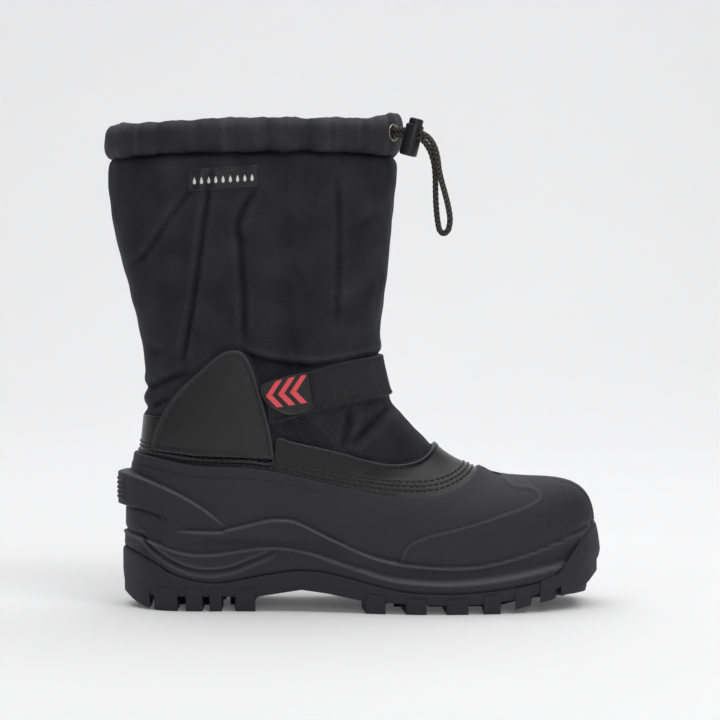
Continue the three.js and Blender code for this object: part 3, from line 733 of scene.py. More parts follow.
# Seams and folds: which side they are on, depth, half width, how rounded the ends are, then side-view points
foldRows = [
    ["both", 1.9, 1.9, 8, [
        [-98, 290], [-98, 272], [-100.6, 255.6], [-104, 231], [-108, 203.5], [-114, 172], [-116, 160]]],
    ["both", 1.3, 2.0, 14, [[-104, 284], [-111, 272], [-126, 251.6], [-138.5, 234], [-152, 222]]],
    ["lateral", 1.9, 2.1, 22, [
        [-66, 284], [-68, 274], [-75, 262], [-79, 250], [-77, 240], [-76.5, 226], [-75, 205], [-75, 180],
        [-76, 168]]],
    ["both", 1.3, 2.0, 26, [[-16.7, 292], [-14, 277], [-13, 250], [-14, 204], [-15, 176]]],
    ["medial", 1.3, 5.0, 22, [[-60, 280], [-63, 262], [-66, 240], [-65, 215]]],
    ["lateral", 1.9, 2.6, 7, [[-5, 134], [-7, 122], [-9.6, 112], [-13, 104]]],
    ["both", 2.0, 3.0, 9, [[22, 136], [18.4, 131], [8.1, 121], [-2.3, 111.6], [-10, 106]]],
    ["medial", 1.7, 3.0, 9, [[-22, 134], [-28, 121], [-30, 110]]],
    ["both", 1.8, 2.4, 10, [[-108, 156.5], [-111.5, 155.7], [-124, 151.9], [-137, 146], [-150, 141]]],
    ["both", 1.6, 2.2, 9, [[-121, 140], [-128, 137.5], [-137, 132.6], [-150, 127]]],
    ["lateral", 1.0, 3.2, 12, [[-121, 166], [-131, 169], [-142, 168]]],
    ["both", 1.2, 4.0, 16, [[20, 262], [6, 254], [-4, 243]]],
    ["both", 0.9, 4.5, 16, [[16, 214], [4, 208], [-7, 197]]],
    ["medial", 1.1, 4.0, 16, [[-150, 258], [-136, 264], [-122, 262]]],
]
hemLine = smoothLine([
    [-78, 173], [-73, 168.5], [-57, 164], [-41, 161.9], [-29, 161.2], [-10, 163], [14, 168.5], [40, 172]], 60)
upper = {"puff": 1.3, "wrinkle": 0.45, "seamPucker": 0.28, "hemStep": 2.2, "collarPull": 4.0, "lining": 4.5}


def upperCover(points):
    # 1 where a strap, patch or band lies on the upper, 0 where it is free
    strap = smoothStep(signedInside(points, strapClosed), -3.5, 0.5)
    patch = smoothStep(signedInside(points, patchClosed), -3.0, 0.5)
    band = smoothStep(-heightOver(points, bandTop), -3.0, 0.5)
    return np.maximum(np.maximum(strap, patch), band)


def upperRelief(points):
    # How far the cloth stands out, with its folds and gathers, and its colour value: a little random tone, with
    # painted shade in the folds and creases and painted highlight beside them
    relief = upper["puff"] * (0.35 + 0.65 * softNoise(points * [1, 1, 0.55], 95, 3))
    relief += upper["wrinkle"] * softNoise(points * [1, 1, 0.5], 30, 5)
    relief += 0.16 * softNoise(points * [1, 1, 0.7], 12, 8)
    lateral = points[..., 1] < 0
    paintedLightAndTone = 0.12 * softNoise(points * [1, 1, 0.6], 22, 9)
    for where, depth, width, ends, line in foldRows:
        distance, along, length = nearest(points, smoothLine(line, 24))
        fade = smoothStep(np.minimum(along, length - along), 0, ends)
        here = {"both": 1.0, "lateral": lateral, "medial": ~lateral}[where]
        pucker = upper["seamPucker"] * np.cos(along * 2 * math.pi / 8.5) * bump(distance, width * 2.2)
        swell = 0.35 * depth * bump(distance - 2.6 * width, 1.3 * width)
        relief += here * fade * (swell + pucker - depth * bump(distance, width))
        # Painted shade in each fold and painted highlight on the swell beside it
        lit = 0.3 * bump(distance - 1.9 * width, width) - 0.65 * bump(distance, 0.7 * width)
        paintedLightAndTone += here * fade * min(depth / 2.2, 1) * lit
    # The shaft's lower hem stands over the cloth below it
    over = heightOver(points, hemLine)
    front = smoothStep(points[..., 0], -80, -70)
    relief += front * upper["hemStep"] * (smoothStep(over, -0.9, 0.6) - 1) * smoothStep(over, -60, -30)
    relief += front * 0.8 * bump(over - 4, 4)
    # Pulled in under the collar, with short gathers
    below = -heightOver(points, collarSeam)
    gathers = softNoise(points * [1, 1, 0.12], 11, 12)
    relief += 1.1 * gathers * smoothStep(below, 0, 3) * np.exp(-below / 9)
    relief -= upper["collarPull"] * np.exp(-np.maximum(below, 0) / 3.2)
    cover = upperCover(points)
    # Painted highlight on the hem's proud edge and painted shade in the crease under it
    shade = paintedLightAndTone + 0.5 * front * bump(over - 3.4, 2.4) - 0.95 * front * bump(over + 0.6, 1.5)
    # Painted shade just under the collar seam
    shade -= 0.8 * np.exp(-np.maximum(below, 0) / 2.2)
    # Painted shade on the cloth along the edges of the strap, patch and band
    return relief * (1 - cover) - 0.25 * cover, shade * (1 - cover) - 0.8 * bump(cover - 0.2, 0.2)


upperSeam = crossing(offsetLine(collarSeam, 3.0), columnsAround, 0)   # runs up inside the collar
upperTuck = crossing(offsetLine(shellLip, -9), columnsAround, 0)
for _ in range(60):   # evens the jump from the heel's lip to the vamp's, out of sight under the band
    upperTuck = (np.roll(upperTuck, 1) + 2 * upperTuck + np.roll(upperTuck, -1)) / 4
toeEnd = np.full(len(columnsAround), float(lastRow))
upperRowsS = np.vstack([
    evenRows(upperSeam, upperTuck, 150, columnsAround, 0)[:-1],
    evenRows(upperTuck, toeEnd, 26, columnsAround, 0)])
upperBase = surface(upperRowsS, columnsAround[None, :], 0)
upperHeight, upperPaintedLight = upperRelief(upperBase)
upperOuter = upperBase + gridNormals(upperBase) * upperHeight[..., None]
liningSeam = crossing(offsetLine(collarSeam, 3.0), columnsAround, -upper["lining"])
liningS = evenRows(liningSeam, toeEnd, 60, columnsAround, -upper["lining"])
liningBase = surface(liningS, columnsAround[None, :], -upper["lining"])
liningRelief = 0.35 * softNoise(liningBase, 24, 21) + 0.2 * softNoise(liningBase, 9, 22)
upperInner = liningBase - gridNormals(liningBase) * np.abs(liningRelief)[..., None]
upperPiece = closedSheet(
    "upper_shell_cloth", upperOuter, upperInner, [nylonTwill, felt], gridUv(upperOuter), gridUv(upperInner),
    capLast=True)
setPaintedLight(upperPiece, upperPaintedLight)
finish(upperPiece, replaces=["upper"])


def treeOf(points):
    # A search surface over a grid that is closed round its columns
    faces = [list(map(int, f)) for f in gridFaces(*points.shape[:2])]
    return BVHTree.FromPolygons([Vector(p) for p in points.reshape(-1, 3)], faces)


upperTree = treeOf(upperOuter)
formTrees = {}


def formTree(growth):
    # A plain surface at one growth, for finding where a side-view point lies on the boot
    if growth not in formTrees:
        s = np.linspace(0, lastRow, 150)[:, None]
        grid = surface(s, columnsAround[None, :], growth)
        formTrees[growth] = treeOf(grid)
    return formTrees[growth]


def onSide(tree, flat, lateral=True, lift=0.0):
    # Side-view points put on a surface, seen square from the lateral or the medial side
    way = 1 if lateral else -1
    found, normals = [], []
    for x, z in flat:
        hit, normal, _, _ = tree.ray_cast(Vector((x, -way * 300, z)), Vector((0, way, 0)))
        if hit is None:
            hit, normal, _, _ = tree.find_nearest(Vector((x, 0, z)))
        if normal.y * way > 0:
            normal = -normal
        found.append(hit + normal * lift)
        normals.append(normal)
    return np.array(found), np.array(normals)


print("stage: collar")

collar = {"growth": 2.0, "thickness": 9.0, "puff": 2.6, "gather": 0.85, "upright": 0.6, "profile": 56}


def makeCollar(values):
    # A stuffed tube on the top of the shaft, closed all round
    middle = values["growth"] - values["thickness"] / 2
    phi = np.linspace(0, 2 * math.pi, values["profile"], endpoint=False) - math.pi / 2
    power = 2 / 2.1
    growth = middle + (values["thickness"] / 2) * signedPower(np.cos(phi), power)
    share = 0.5 + 0.5 * signedPower(np.sin(phi), power)
    cols = np.arange(4 * halfColumns) / (4 * halfColumns)
    steps = 9
    levels = np.linspace(0, 1, steps)
    seamX, seamZ = collarSeam.T
    tall = np.interp(seamX, *collarTop.T) - seamZ
    rows = np.array([crossing(np.stack([seamX, seamZ + f * tall], axis=1), cols, middle) for f in levels])
    s = np.array([[np.interp(f, levels, rows[:, j]) for j in range(len(cols))] for f in share])
    grid = surface(s, cols[None, :], 0)
    outNormal = gridNormals(surface(np.linspace(0.6, 1.4, 5)[:, None], cols[None, :], 0))[2]
    base = grid + outNormal[None] * growth[:, None, None]
    # Gathers along the seam and the top edge, and soft upright creases between
    edge = np.abs(2 * share - 1)[:, None]
    ring = base.copy()
    ring[..., 2] = 0
    gathers = softNoise(ring, 13, 31) + 0.6 * softNoise(ring, 6.5, 32)
    upright = softNoise(ring, 34, 33)
    front = np.cos(phi)[:, None]
    relief = values["gather"] * gathers * (0.25 + 0.75 * edge ** 2) * (0.55 + 0.45 * np.abs(front)) * 0.6
    relief += values["upright"] * upright + 0.3 * softNoise(base, 16, 34)
    relief += values["puff"] * (0.4 * (1 - edge ** 2))
    # Painted light: lighter on the raised gathers and darker between, a painted shade along the seam on the outer
    # face, and a painted highlight along the top
    paintedLightAndTone = (0.2 * gathers + 0.1 * upright) * (0.3 + 0.7 * edge)
    paintedLightAndTone -= 0.9 * np.exp(-(share[:, None] / 0.06)) * (front > 0)
    paintedLightAndTone += 0.5 * smoothStep(share[:, None], 0.62, 0.97) * (front > -0.3)
    alongRing, roundTube = (np.roll(base, -1, axis=k) - np.roll(base, 1, axis=k) for k in (1, 0))
    normal = np.cross(alongRing, roundTube)
    normal /= np.linalg.norm(normal, axis=2)[..., None]
    if np.sum(normal * (base - base.mean(axis=0)[None])) < 0:
        normal = -normal
    made = base + normal * relief[..., None]
    rowCount, colCount = made.shape[:2]
    quads = gridFaces(rowCount + 1, colCount) % (rowCount * colCount)   # the last row joins the first
    around = np.cumsum(np.linalg.norm(np.diff(made, axis=0, append=made[:1]), axis=2).mean(axis=1))
    along = np.cumsum(np.linalg.norm(np.diff(made, axis=1, append=made[:, :1]), axis=2).mean(axis=0))
    uv = np.stack(np.meshgrid(-along, around), axis=-1)
    piece = outward(newPiece("collar_tube", made.reshape(-1, 3), quads, [nylonTwill], uv.reshape(-1, 2)))
    setPaintedLight(piece, paintedLightAndTone)
    finish(piece, replaces=["collar"])


makeCollar(collar)

print("stage: leather band and ankle patches")


def rounded(distance, radius):
    # Share of full height at a distance in from a rounded edge
    f = np.clip(distance / radius, 0, 1)
    return np.sqrt(np.maximum(1 - (1 - f) ** 2, 0))


# The outsole's plan: X, then its half width on the outer and on the inner side
outlineRows = np.array([
    [-152, 17, 17], [-138, 34, 34], [-115, 42.5, 42.5], [-75, 43, 41], [-35, 46.5, 38.5], [5, 54, 47],
    [40, 59.5, 55.5], [75, 58, 58], [105, 51.5, 54.5], [128, 41, 47.5], [146, 26.5, 35.5], [156.5, 9.5, 21.5]])
# How far its side draws in, by height
sideRows = np.array([[-3, 4.2], [6, 2.6], [14, 0.8], [24, 0], [36, 0], [47, 1.6], [60, 4.6]])


def evenClosed(points, count):
    # Points spaced evenly round a closed outline
    closed = np.vstack([points, points[:1]])
    along = runOf(closed)
    marks = np.linspace(0, along[-1], count, endpoint=False)
    return np.stack([np.interp(marks, along, closed[:, k]) for k in (0, 1)], axis=1)


def closedCurve(points, count):
    p = np.array(points, float)
    n = len(p)
    s = np.linspace(0, n, count, endpoint=False)
    i = np.floor(s).astype(int)
    f = (s - i)[:, None]
    made = bend(*(p[(i + k) % n] for k in (-1, 0, 1, 2)), f)
    return evenClosed(made, count)


def soleOutline(count=600):
    lateral = [[x, -half] for x, half, _ in outlineRows]
    medial = [[x, half] for x, _, half in outlineRows[::-1]]
    return closedCurve([[-157.6, 0]] + lateral + [[160.4, 6]] + medial, count)


solePlan = soleOutline()
soleAhead = np.roll(solePlan, -1, axis=0) - np.roll(solePlan, 1, axis=0)
soleOut = np.stack([soleAhead[:, 1], -soleAhead[:, 0]], axis=1)
soleOut /= np.linalg.norm(soleOut, axis=1)[:, None]
if np.sum(soleOut * solePlan) < 0:
    soleOut = -soleOut


# Upright cuts through the foot, one for each outline point: square to the middle line, and fanned at heel and toe
fanCentre = np.column_stack([np.clip(solePlan[:, 0], -108, 30), np.zeros(len(solePlan))])
fanWay = solePlan - fanCentre
soleReach = np.linalg.norm(fanWay, axis=1)
fanWay /= soleReach[:, None]
fanHeight = 50.0
fanAngles = np.radians(np.linspace(-72, 84, 118))


def makeFan(growth, shell=False):
    # How far the boot's surface is from the middle in each cut, at each angle
    grid = surface(np.linspace(0, lastRow, 260)[:, None], (np.arange(640) / 640)[None, :], growth, shell)
    tree = treeOf(grid)
    reach = np.zeros((len(fanAngles), len(solePlan)))
    for j, (centre, way) in enumerate(zip(fanCentre, fanWay)):
        origin = Vector((centre[0], 0, fanHeight))
        for i, angle in enumerate(fanAngles):
            flat = math.cos(angle)
            hit = tree.ray_cast(origin, Vector((way[0] * flat, way[1] * flat, math.sin(angle))))
            reach[i, j] = hit[3] if hit[0] else reach[i - 1, j]
    for _ in range(3):
        reach[1:-1] = (reach[:-2] + 2 * reach[1:-1] + reach[2:]) / 4
        reach = (np.roll(reach, 1, axis=1) + 2 * reach + np.roll(reach, -1, axis=1)) / 4
    even = reach.copy()
    for _ in range(90):   # no crease where the sections turn round the heel
        even = (np.roll(even, 1, axis=1) + 2 * even + np.roll(even, -1, axis=1)) / 4
    return reach + (even - reach) * smoothStep(-solePlan[:, 0], 80, 105)[None]


def fanPoint(reach, angle):
    # Points of the surface at these angles, one column for each cut
    place = (angle - fanAngles[0]) / (fanAngles[1] - fanAngles[0])
    last = len(fanAngles) - 1
    i = np.clip(np.floor(place).astype(int), 0, last - 1)
    j = np.broadcast_to(np.arange(reach.shape[1]), i.shape)
    far = bend(*(reach[np.clip(i + k, 0, last), j] for k in (-1, 0, 1, 2)), place - i)
    flat = far * np.cos(angle)
    x = fanCentre[:, 0] + fanWay[:, 0] * flat
    return np.stack([x, fanWay[:, 1] * flat, fanHeight + far * np.sin(angle)], axis=-1)


def fanCross(reach, line):
    # The angle at which each cut meets a side-view line, from above
    angle = np.linspace(fanAngles[-1], fanAngles[0], 700)
    over = heightOver(fanPoint(reach, np.repeat(angle[:, None], reach.shape[1], axis=1)), line)
    k = np.where(np.any(over <= 0, axis=0), np.maximum(np.argmax(over <= 0, axis=0), 1), len(angle) - 1)
    j = np.arange(reach.shape[1])
    a, b = over[k - 1, j], over[k, j]
    return angle[k - 1] + (angle[k] - angle[k - 1]) * np.clip(a / np.where(a == b, 1, a - b), 0, 1)


def fanRows(reach, topAngle, lowAngle, shares):
    # Angles at these shares of the way down each cut, measured along the surface
    steps = np.linspace(0, 1, 160)[:, None]
    angles = topAngle + (lowAngle - topAngle) * steps
    points = fanPoint(reach, angles)
    along = runOf(points)
    found = [np.interp(np.array(shares) * run[-1], run, turn) for run, turn in zip(along.T, angles.T)]
    return np.stack(found, axis=1)


fanBand = makeFan(gap)
fanShell = makeFan(shellGrowth, shell=True)


def outNormals(points):
    # Normals that point away from the middle line
    normal = np.cross(np.roll(points, -1, axis=1) - np.roll(points, 1, axis=1), np.gradient(points, axis=0))
    normal /= np.linalg.norm(normal, axis=2)[..., None] + 1e-9
    outwards = points - np.column_stack([fanCentre, np.full(len(fanCentre), fanHeight)])[None]
    return normal * np.sign(np.median(np.sum(normal * outwards, axis=2)))


band = {"thickness": 1.8, "edge": 1.1, "fold": 0.55, "foldWidth": 2.4, "tuck": 8.0}
stitchRises = [1.7, 4.6, 7.5]


def makeBand(values):
    top = fanCross(fanBand, bandTop)
    low = fanCross(fanBand, offsetLine(shellLip, -values["tuck"]))
    share = np.concatenate([[0, 0.004, 0.012, 0.025, 0.045, 0.07, 0.1, 0.14], np.linspace(0.18, 1, 44)])
    base = fanPoint(fanBand, fanRows(fanBand, top, low, share))
    normal = outNormals(base)
    down = runOf(base)
    height = values["thickness"] * rounded(down + 0.15, values["edge"])
    folded = 1 - smoothStep(down, values["foldWidth"] - 0.7, values["foldWidth"] + 0.9)
    height += values["fold"] * folded * rounded(down, 1.0)
    over = heightOver(base, shellLip)
    rows = sum(bump(over - rise, 0.7) for rise in stitchRises)
    height += 0.35 * smoothStep(-over, -9.5, -8.0) - 0.45 * rows
    # Painted highlight along the folded top edge, painted shade under the fold, in the stitch grooves and where the
    # band meets the shell's lip
    paintedLightAndTone = 0.8 * bump(down - 0.8, 0.9) - 0.7 * bump(down - values["foldWidth"] - 0.4, 0.9) - 0.55 * rows
    paintedLightAndTone -= 0.7 * bump(over - 0.2, 1.0)
    height += 0.14 * softNoise(base, 26, 41) * smoothStep(down, 1, 6)
    outer = base + normal * height[..., None]
    piece = closedSheet("leather_band_sheet", outer, base, [bandLeather], gridUv(outer))
    setPaintedLight(piece, paintedLightAndTone)
    finish(piece, replaces=["leather_band"])


makeBand(band)


def polarSheet(name, outline, shares, heightAt, tree, lateral, materials, under=0.3, count=220):
    # A closed sheet inside a side-view outline, in rings from its edge to its middle
    edge = evenClosed(np.array(outline, float), count)
    middle = (edge.min(axis=0) + edge.max(axis=0)) / 2
    flat = np.array([middle + (edge - middle) * f for f in shares])
    points, normals = onSide(tree, flat.reshape(-1, 2), lateral)
    points, normals = points.reshape(len(shares), count, 3), normals.reshape(len(shares), count, 3)
    inwards = nearest(points, edge, closed=True)[0]
    outer = points + normals * heightAt(points, inwards)[..., None]
    inner = points[[0, -1]] - normals[[0, -1]] * under
    piece = closedSheet(name, outer, inner, materials, flat, flat[[0, -1]], wrap=True, capLast=True)
    # Painted highlight on the rolled edge and painted shade in the stitch groove inside it
    setPaintedLight(piece, 0.7 * bump(inwards - 0.9, 0.9) - 0.15 * bump(inwards - 3.2, 0.9))
    return piece


edgeShares = [
    1, 0.997, 0.992, 0.985, 0.975, 0.962, 0.948, 0.93, 0.91, 0.885, 0.85, 0.8, 0.72, 0.6, 0.46, 0.3, 0.14]
patch = {"thickness": 1.8, "edge": 1.3, "roll": 0.7, "rollWidth": 2.8, "dome": 1.0}


def patchHeight(points, inwards):
    roll = patch["roll"] * (1 - smoothStep(inwards, patch["rollWidth"] - 0.8, patch["rollWidth"] + 1.4))
    dome = patch["dome"] * smoothStep(inwards, 3, 22)
    sunk = 0.35 * bump(inwards - 3.2, 0.8)
    height = (patch["thickness"] + roll) * rounded(inwards + 0.1, patch["edge"])
    return height - sunk + dome + 0.1 * softNoise(points, 30, 51)


for patchName, lateral in (("ankle_patch_lateral", True), ("ankle_patch_medial", False)):
    piece = polarSheet(
        patchName + "_sheet", patchClosed, edgeShares, patchHeight, formTree(gap), lateral, [patchLeather])
    finish(piece, replaces=[patchName])


heelStay = {"top": 126.5, "middle": 114.0, "bottom": 101.5, "frontX": -130.0, "thickness": 1.7, "edge": 1.1}


def makeHeelStay(values):
    # The upright leather strip up the back, over the band
    cols = np.arange(-150, 151) / 1400 % 1.0
    top, middle, low = (
        crossing(np.array([[-200, values[level]], [100, values[level]]]), cols, gap)
        for level in ("top", "middle", "bottom"))
    keep = surface(middle, cols, gap)[:, 0] < values["frontX"]
    cols, top, low = cols[keep], top[keep], low[keep]
    base = surface(evenRows(top, low, 40, cols, gap), cols[None, :], gap)
    normal = gridNormals(base, wrap=False)
    normal *= np.sign(np.sum(normal * [-1, 0, 0], axis=2))[..., None]
    down = runOf(base)
    side = runOf(base, 1)
    side = np.minimum(side, side[:, -1:] - side)
    height = values["thickness"] * rounded(np.minimum(down, side) + 0.1, values["edge"])
    outer = base + normal * height[..., None]
    piece = closedSheet("heel_stay", outer, base - normal * 0.2, [bandLeather], gridUv(outer), wrap=False)
    finish(piece)


makeHeelStay(heelStay)

print("stage: rubber shell")

ledgeOutline = smoothLine([
    [-185, 89.4], [-152, 89.4], [-141, 85.6], [-131, 82.4], [-118, 77], [-100, 66], [-112, 62],
    [-130, 63.5], [-142, 66.5], [-155, 66.5], [-185, 66.5]], 90)
ledgeRidge = smoothLine([
    [-160, 91], [-152, 89.4], [-141, 86], [-131, 82.4], [-120, 77.8], [-110, 72.6], [-99, 65.6], [-85.7, 54.5]], 60)
ledgeFoot = smoothLine([[-165, 69.5], [-155, 68.4], [-145, 67.2], [-136, 65.0], [-126, 61.6]], 30)
heelCrescent = smoothLine([
    [-148, 53], [-143, 49], [-137, 41.5], [-126, 34.2], [-115, 29.2], [-104, 27.2], [-93, 27.2],
    [-83, 28.8], [-72, 32.8], [-61, 37], [-50, 42]], 60)
toeCap = smoothLine([
    [26, 33], [28, 40], [33, 46], [45, 51], [62, 55], [80, 60], [96, 65], [109, 69], [117, 74],
    [112, 79], [99, 81], [88.5, 92]], 60)
toeCapClosed = np.vstack([toeCap, [[150, 120], [200, 60], [200, 20], [24, 20]]])
shell = {
    "waveStep": 2.1, "waveEdge": 0.4, "waveBead": 0.6, "lipStep": 0.45, "lipStepDrop": 7.0, "lipRound": 3.2,
    "crescent": 1.9, "ridge": 2.2, "toeCap": 0.7, "ledgeHalfLength": 49.7, "ledgeHalfWidth": 39.5,
    "ledgeCentre": -111.0, "rimRecess": 1.5}


def waveShape(over, step, x):
    # A proud band below a line, with a rounded bead along its top edge, softer round the toe; also a painted
    # highlight on the bead and a painted shade in the groove above it
    edge = shell["waveEdge"] * (1 + 1.4 * smoothStep(x, 70, 115))
    down = np.maximum(-over, 0)
    rise = step * (1 - smoothStep(over, -edge, edge)) * (0.35 + 0.65 * np.exp(-down / 8))
    paintedLightAndTone = 0.8 * bump(over + 0.5, 0.8) - 0.45 * bump(over - 1.3, 1.1)
    return rise + shell["waveBead"] * bump(over + 1.0, 0.8) - 0.35 * bump(over - 1.2, 1.1), paintedLightAndTone


def shellRelief(points):
    # How far the moulded lines stand out, their painted highlights and shade, and where the rubber is pebbled
    x = points[..., 0]
    highRise, highPaintedLight = waveShape(heightOver(points, upperWave), shell["waveStep"], x)
    starts = smoothStep(x, -124, -108)
    relief, paintedLightAndTone = highRise * starts, highPaintedLight * starts
    lowRise, lowPaintedLight = waveShape(heightOver(points, lowerWave), shell["waveStep"], x)
    relief, paintedLightAndTone = relief + lowRise, paintedLightAndTone + lowPaintedLight * 0.9
    below = -heightOver(points, shellLip)
    relief -= shell["lipStep"] * (1 - smoothStep(below, shell["lipStepDrop"] - 0.5, shell["lipStepDrop"] + 0.5))
    distance, along, length = nearest(points, heelCrescent)
    fade = smoothStep(np.minimum(along, length - along), 0, 16)
    under = np.interp(x, heelCrescent[:, 0], heelCrescent[:, 1]) - points[..., 2]
    inSpan = smoothStep(x, -150, -138) * (1 - smoothStep(x, -66, -50))
    relief -= fade * shell["crescent"] * bump(distance, 1.3)
    # Painted shade in the crescent groove and painted highlight beside it
    paintedLightAndTone += fade * (0.4 * bump(distance - 2.2, 1.0) - 0.7 * bump(distance, 1.1))
    relief += 0.9 * inSpan * bump(under - 3.2, 2.6) + 0.8 * inSpan * bump(under + 4.0, 3.2)
    # The ridge that runs down from the kick ledge, with a fall behind it
    under = np.interp(x, ledgeRidge[:, 0], ledgeRidge[:, 1]) - points[..., 2]
    span = 1 - smoothStep(x, -98, -84.5)
    relief += span * shell["ridge"] * smoothStep(under, -0.5, 0.7) * np.exp(-np.maximum(under - 0.7, 0) / 13)
    relief += span * 0.45 * bump(under - 0.9, 0.9)
    # Painted highlight along the ridge's top edge and painted shade just above it
    paintedLightAndTone += span * (0.8 * bump(under - 0.4, 0.8) - 0.4 * bump(under + 1.3, 1.1))
    foot = heightOver(points, ledgeFoot)
    span = 1 - smoothStep(x, -130, -122)
    relief += span * (1.1 * smoothStep(foot, -0.5, 0.5) * bump(foot, 9) - 0.9 * bump(foot + 1.2, 1.5))
    cap = np.minimum(signedInside(points, toeCapClosed), heightOver(points, upperWave) - 0.8)
    relief += shell["toeCap"] * smoothStep(cap, -0.5, 0.5) + 0.2 * bump(cap - 1.2, 1.0)
    # Painted highlight just inside the toe cap's edge and painted shade just outside it
    paintedLightAndTone += 0.4 * bump(cap - 0.4, 0.8) - 0.35 * bump(cap + 0.9, 0.9)
    # Painted shade under the kick ledge's foot and at the step below the lip
    paintedLightAndTone -= span * 0.5 * bump(foot + 1.2, 1.3) + 0.35 * bump(below - shell["lipStepDrop"], 0.8)
    relief += 0.1 * softNoise(points, 60, 61)
    pebbled = np.maximum(smoothStep(cap, -0.5, 1.0), 0.45 * smoothStep(-heightOver(points, lowerWave), 0, 1))
    return relief, paintedLightAndTone, pebbled


def ledgeOut(points):
    # Pushes the heel out to the kick ledge where the side view shows it
    share = smoothStep(signedInside(points, ledgeOutline), -0.8, 1.4)
    dx, dy = points[..., 0] - shell["ledgeCentre"], points[..., 1]
    reach = np.sqrt((dx / shell["ledgeHalfLength"]) ** 2 + (dy / shell["ledgeHalfWidth"]) ** 2)
    push = np.maximum(1 / np.maximum(reach, 0.2) - 1, 0) * share * (dx < 20)
    made = points.copy()
    made[..., 0] += dx * push
    made[..., 1] += dy * push
    return made


def insetAt(z):
    return np.interp(z, sideRows[:, 0], sideRows[:, 1])


def meetSole(points):
    # The lower bands flare out, or draw in, to sit just inside the outsole's rim
    flat = points[..., :2] - fanCentre[None]
    reach = np.linalg.norm(flat, axis=2)
    z = points[..., 2]
    rim = heightOver(points, outsoleTop)
    recess = shell["rimRecess"] + 4.5 * smoothStep(-rim, -0.2, 1.6) + 1.3 * bump(rim - 0.3, 1.1)
    target = soleReach[None] - insetAt(z) - recess
    lower = heightOver(points, lowerWave)
    share = 1 - smoothStep(lower, -4.0, 5.0)
    share = np.maximum(share, smoothStep(-rim, -3.0, -0.5))
    made = reach + (target - reach) * share
    scale = made / reach
    moved = points.copy()
    moved[..., :2] = fanCentre[None] + flat * scale[..., None]
    return moved


def insideRim(points):
    # Nothing of the shell stands out past the outsole's rim
    flat = points[..., :2] - fanCentre[None]
    reach = np.linalg.norm(flat, axis=2)
    z = points[..., 2]
    rim = heightOver(points, outsoleTop)
    start = 40 + 14 * smoothStep(points[..., 0], 40, 100)
    free = smoothStep((z - start) / (64 - start), 0, 1) * 24
    limit = soleReach[None] - insetAt(z) - 0.5 - 4.5 * smoothStep(-rim, -0.2, 1.4) + free
    made = points.copy()
    made[..., :2] = fanCentre[None] + flat * np.minimum(1, limit / reach)[..., None]
    return made


def makeShell():
    lip = fanCross(fanShell, shellLip)
    foot = fanCross(fanShell, offsetLine(outsoleTop, -7))
    lipShares = [0, 0.0015, 0.004, 0.008, 0.013, 0.019, 0.026, 0.034, 0.043]
    share = np.concatenate([lipShares, np.linspace(0.052, 1, 126)])
    base = fanPoint(fanShell, fanRows(fanShell, lip, foot, share))
    normal = outNormals(base)
    down = runOf(base)
    smooth = meetSole(base)
    relief, paintedLightAndTone, pebbled = shellRelief(base)
    relief = relief - shell["lipRound"] * (1 - rounded(down + 0.02, 1.5))
    outer = ledgeOut(insideRim(smooth + normal * relief[..., None]))
    step = np.linspace(0, 1, 9)   # the inner skin needs few rows: it is out of sight
    innerBase = fanPoint(fanBand, fanRows(fanBand, fanCross(fanBand, offsetLine(shellLip, -0.6)), foot, step))
    lift = 1.9 * (1 - smoothStep(step, 0, 0.2))[:, None]
    inner = innerBase + outNormals(innerBase) * lift[..., None]
    piece = closedSheet("rubber_shell_skin", outer, inner, [shellRubber], gridUv(outer), gridUv(inner))
    setMask(piece, "pebbled", pebbled)
    rim = heightOver(outer, outsoleTop)
    # Painted shade along the parting line just above the outsole's rim
    setPaintedLight(piece, paintedLightAndTone - 0.8 * bump(rim - 0.3, 1.2))
    finish(piece, replaces=["rubber_shell"])


makeShell()

kickRibs = {"count": 5, "low": 70.4, "high": 85.6, "height": 1.2, "reach": 0.56, "sunk": 0.4, "deep": 1.6}


def makeKickRibs(values):
    # Grip ribs round the back of the kick ledge
    angles = np.linspace(-values["reach"], values["reach"], 90)
    z = np.linspace(values["low"], values["high"], 96)
    wave = 0.5 - 0.5 * np.cos((z - values["low"]) / (values["high"] - values["low"]) * values["count"] * 2 * math.pi)
    ends = smoothStep(values["reach"] - np.abs(angles), 0, 0.12)
    heights = np.repeat(z[:, None], len(angles), axis=1)

    def roundLedge(radial):
        x = shell["ledgeCentre"] - (shell["ledgeHalfLength"] + radial) * np.cos(angles)[None, :]
        y = (shell["ledgeHalfWidth"] + radial) * np.sin(angles)[None, :]
        return np.stack([x, y, heights], axis=-1)

    outer = roundLedge(-values["sunk"] + values["height"] * (wave[:, None] ** 0.7) * ends[None, :])
    inner = roundLedge(np.full(heights.shape, -values["deep"]))
    piece = closedSheet("kick_ribs", outer, inner, [shellRubber], gridUv(outer), wrap=False)
    finish(piece)


makeKickRibs(kickRibs)

print("stage: outsole")

sole = {"topRound": 1.8, "topIn": 5.0, "lugProud": 0.7, "endLugProud": -0.15, "lugBevel": 1.7}


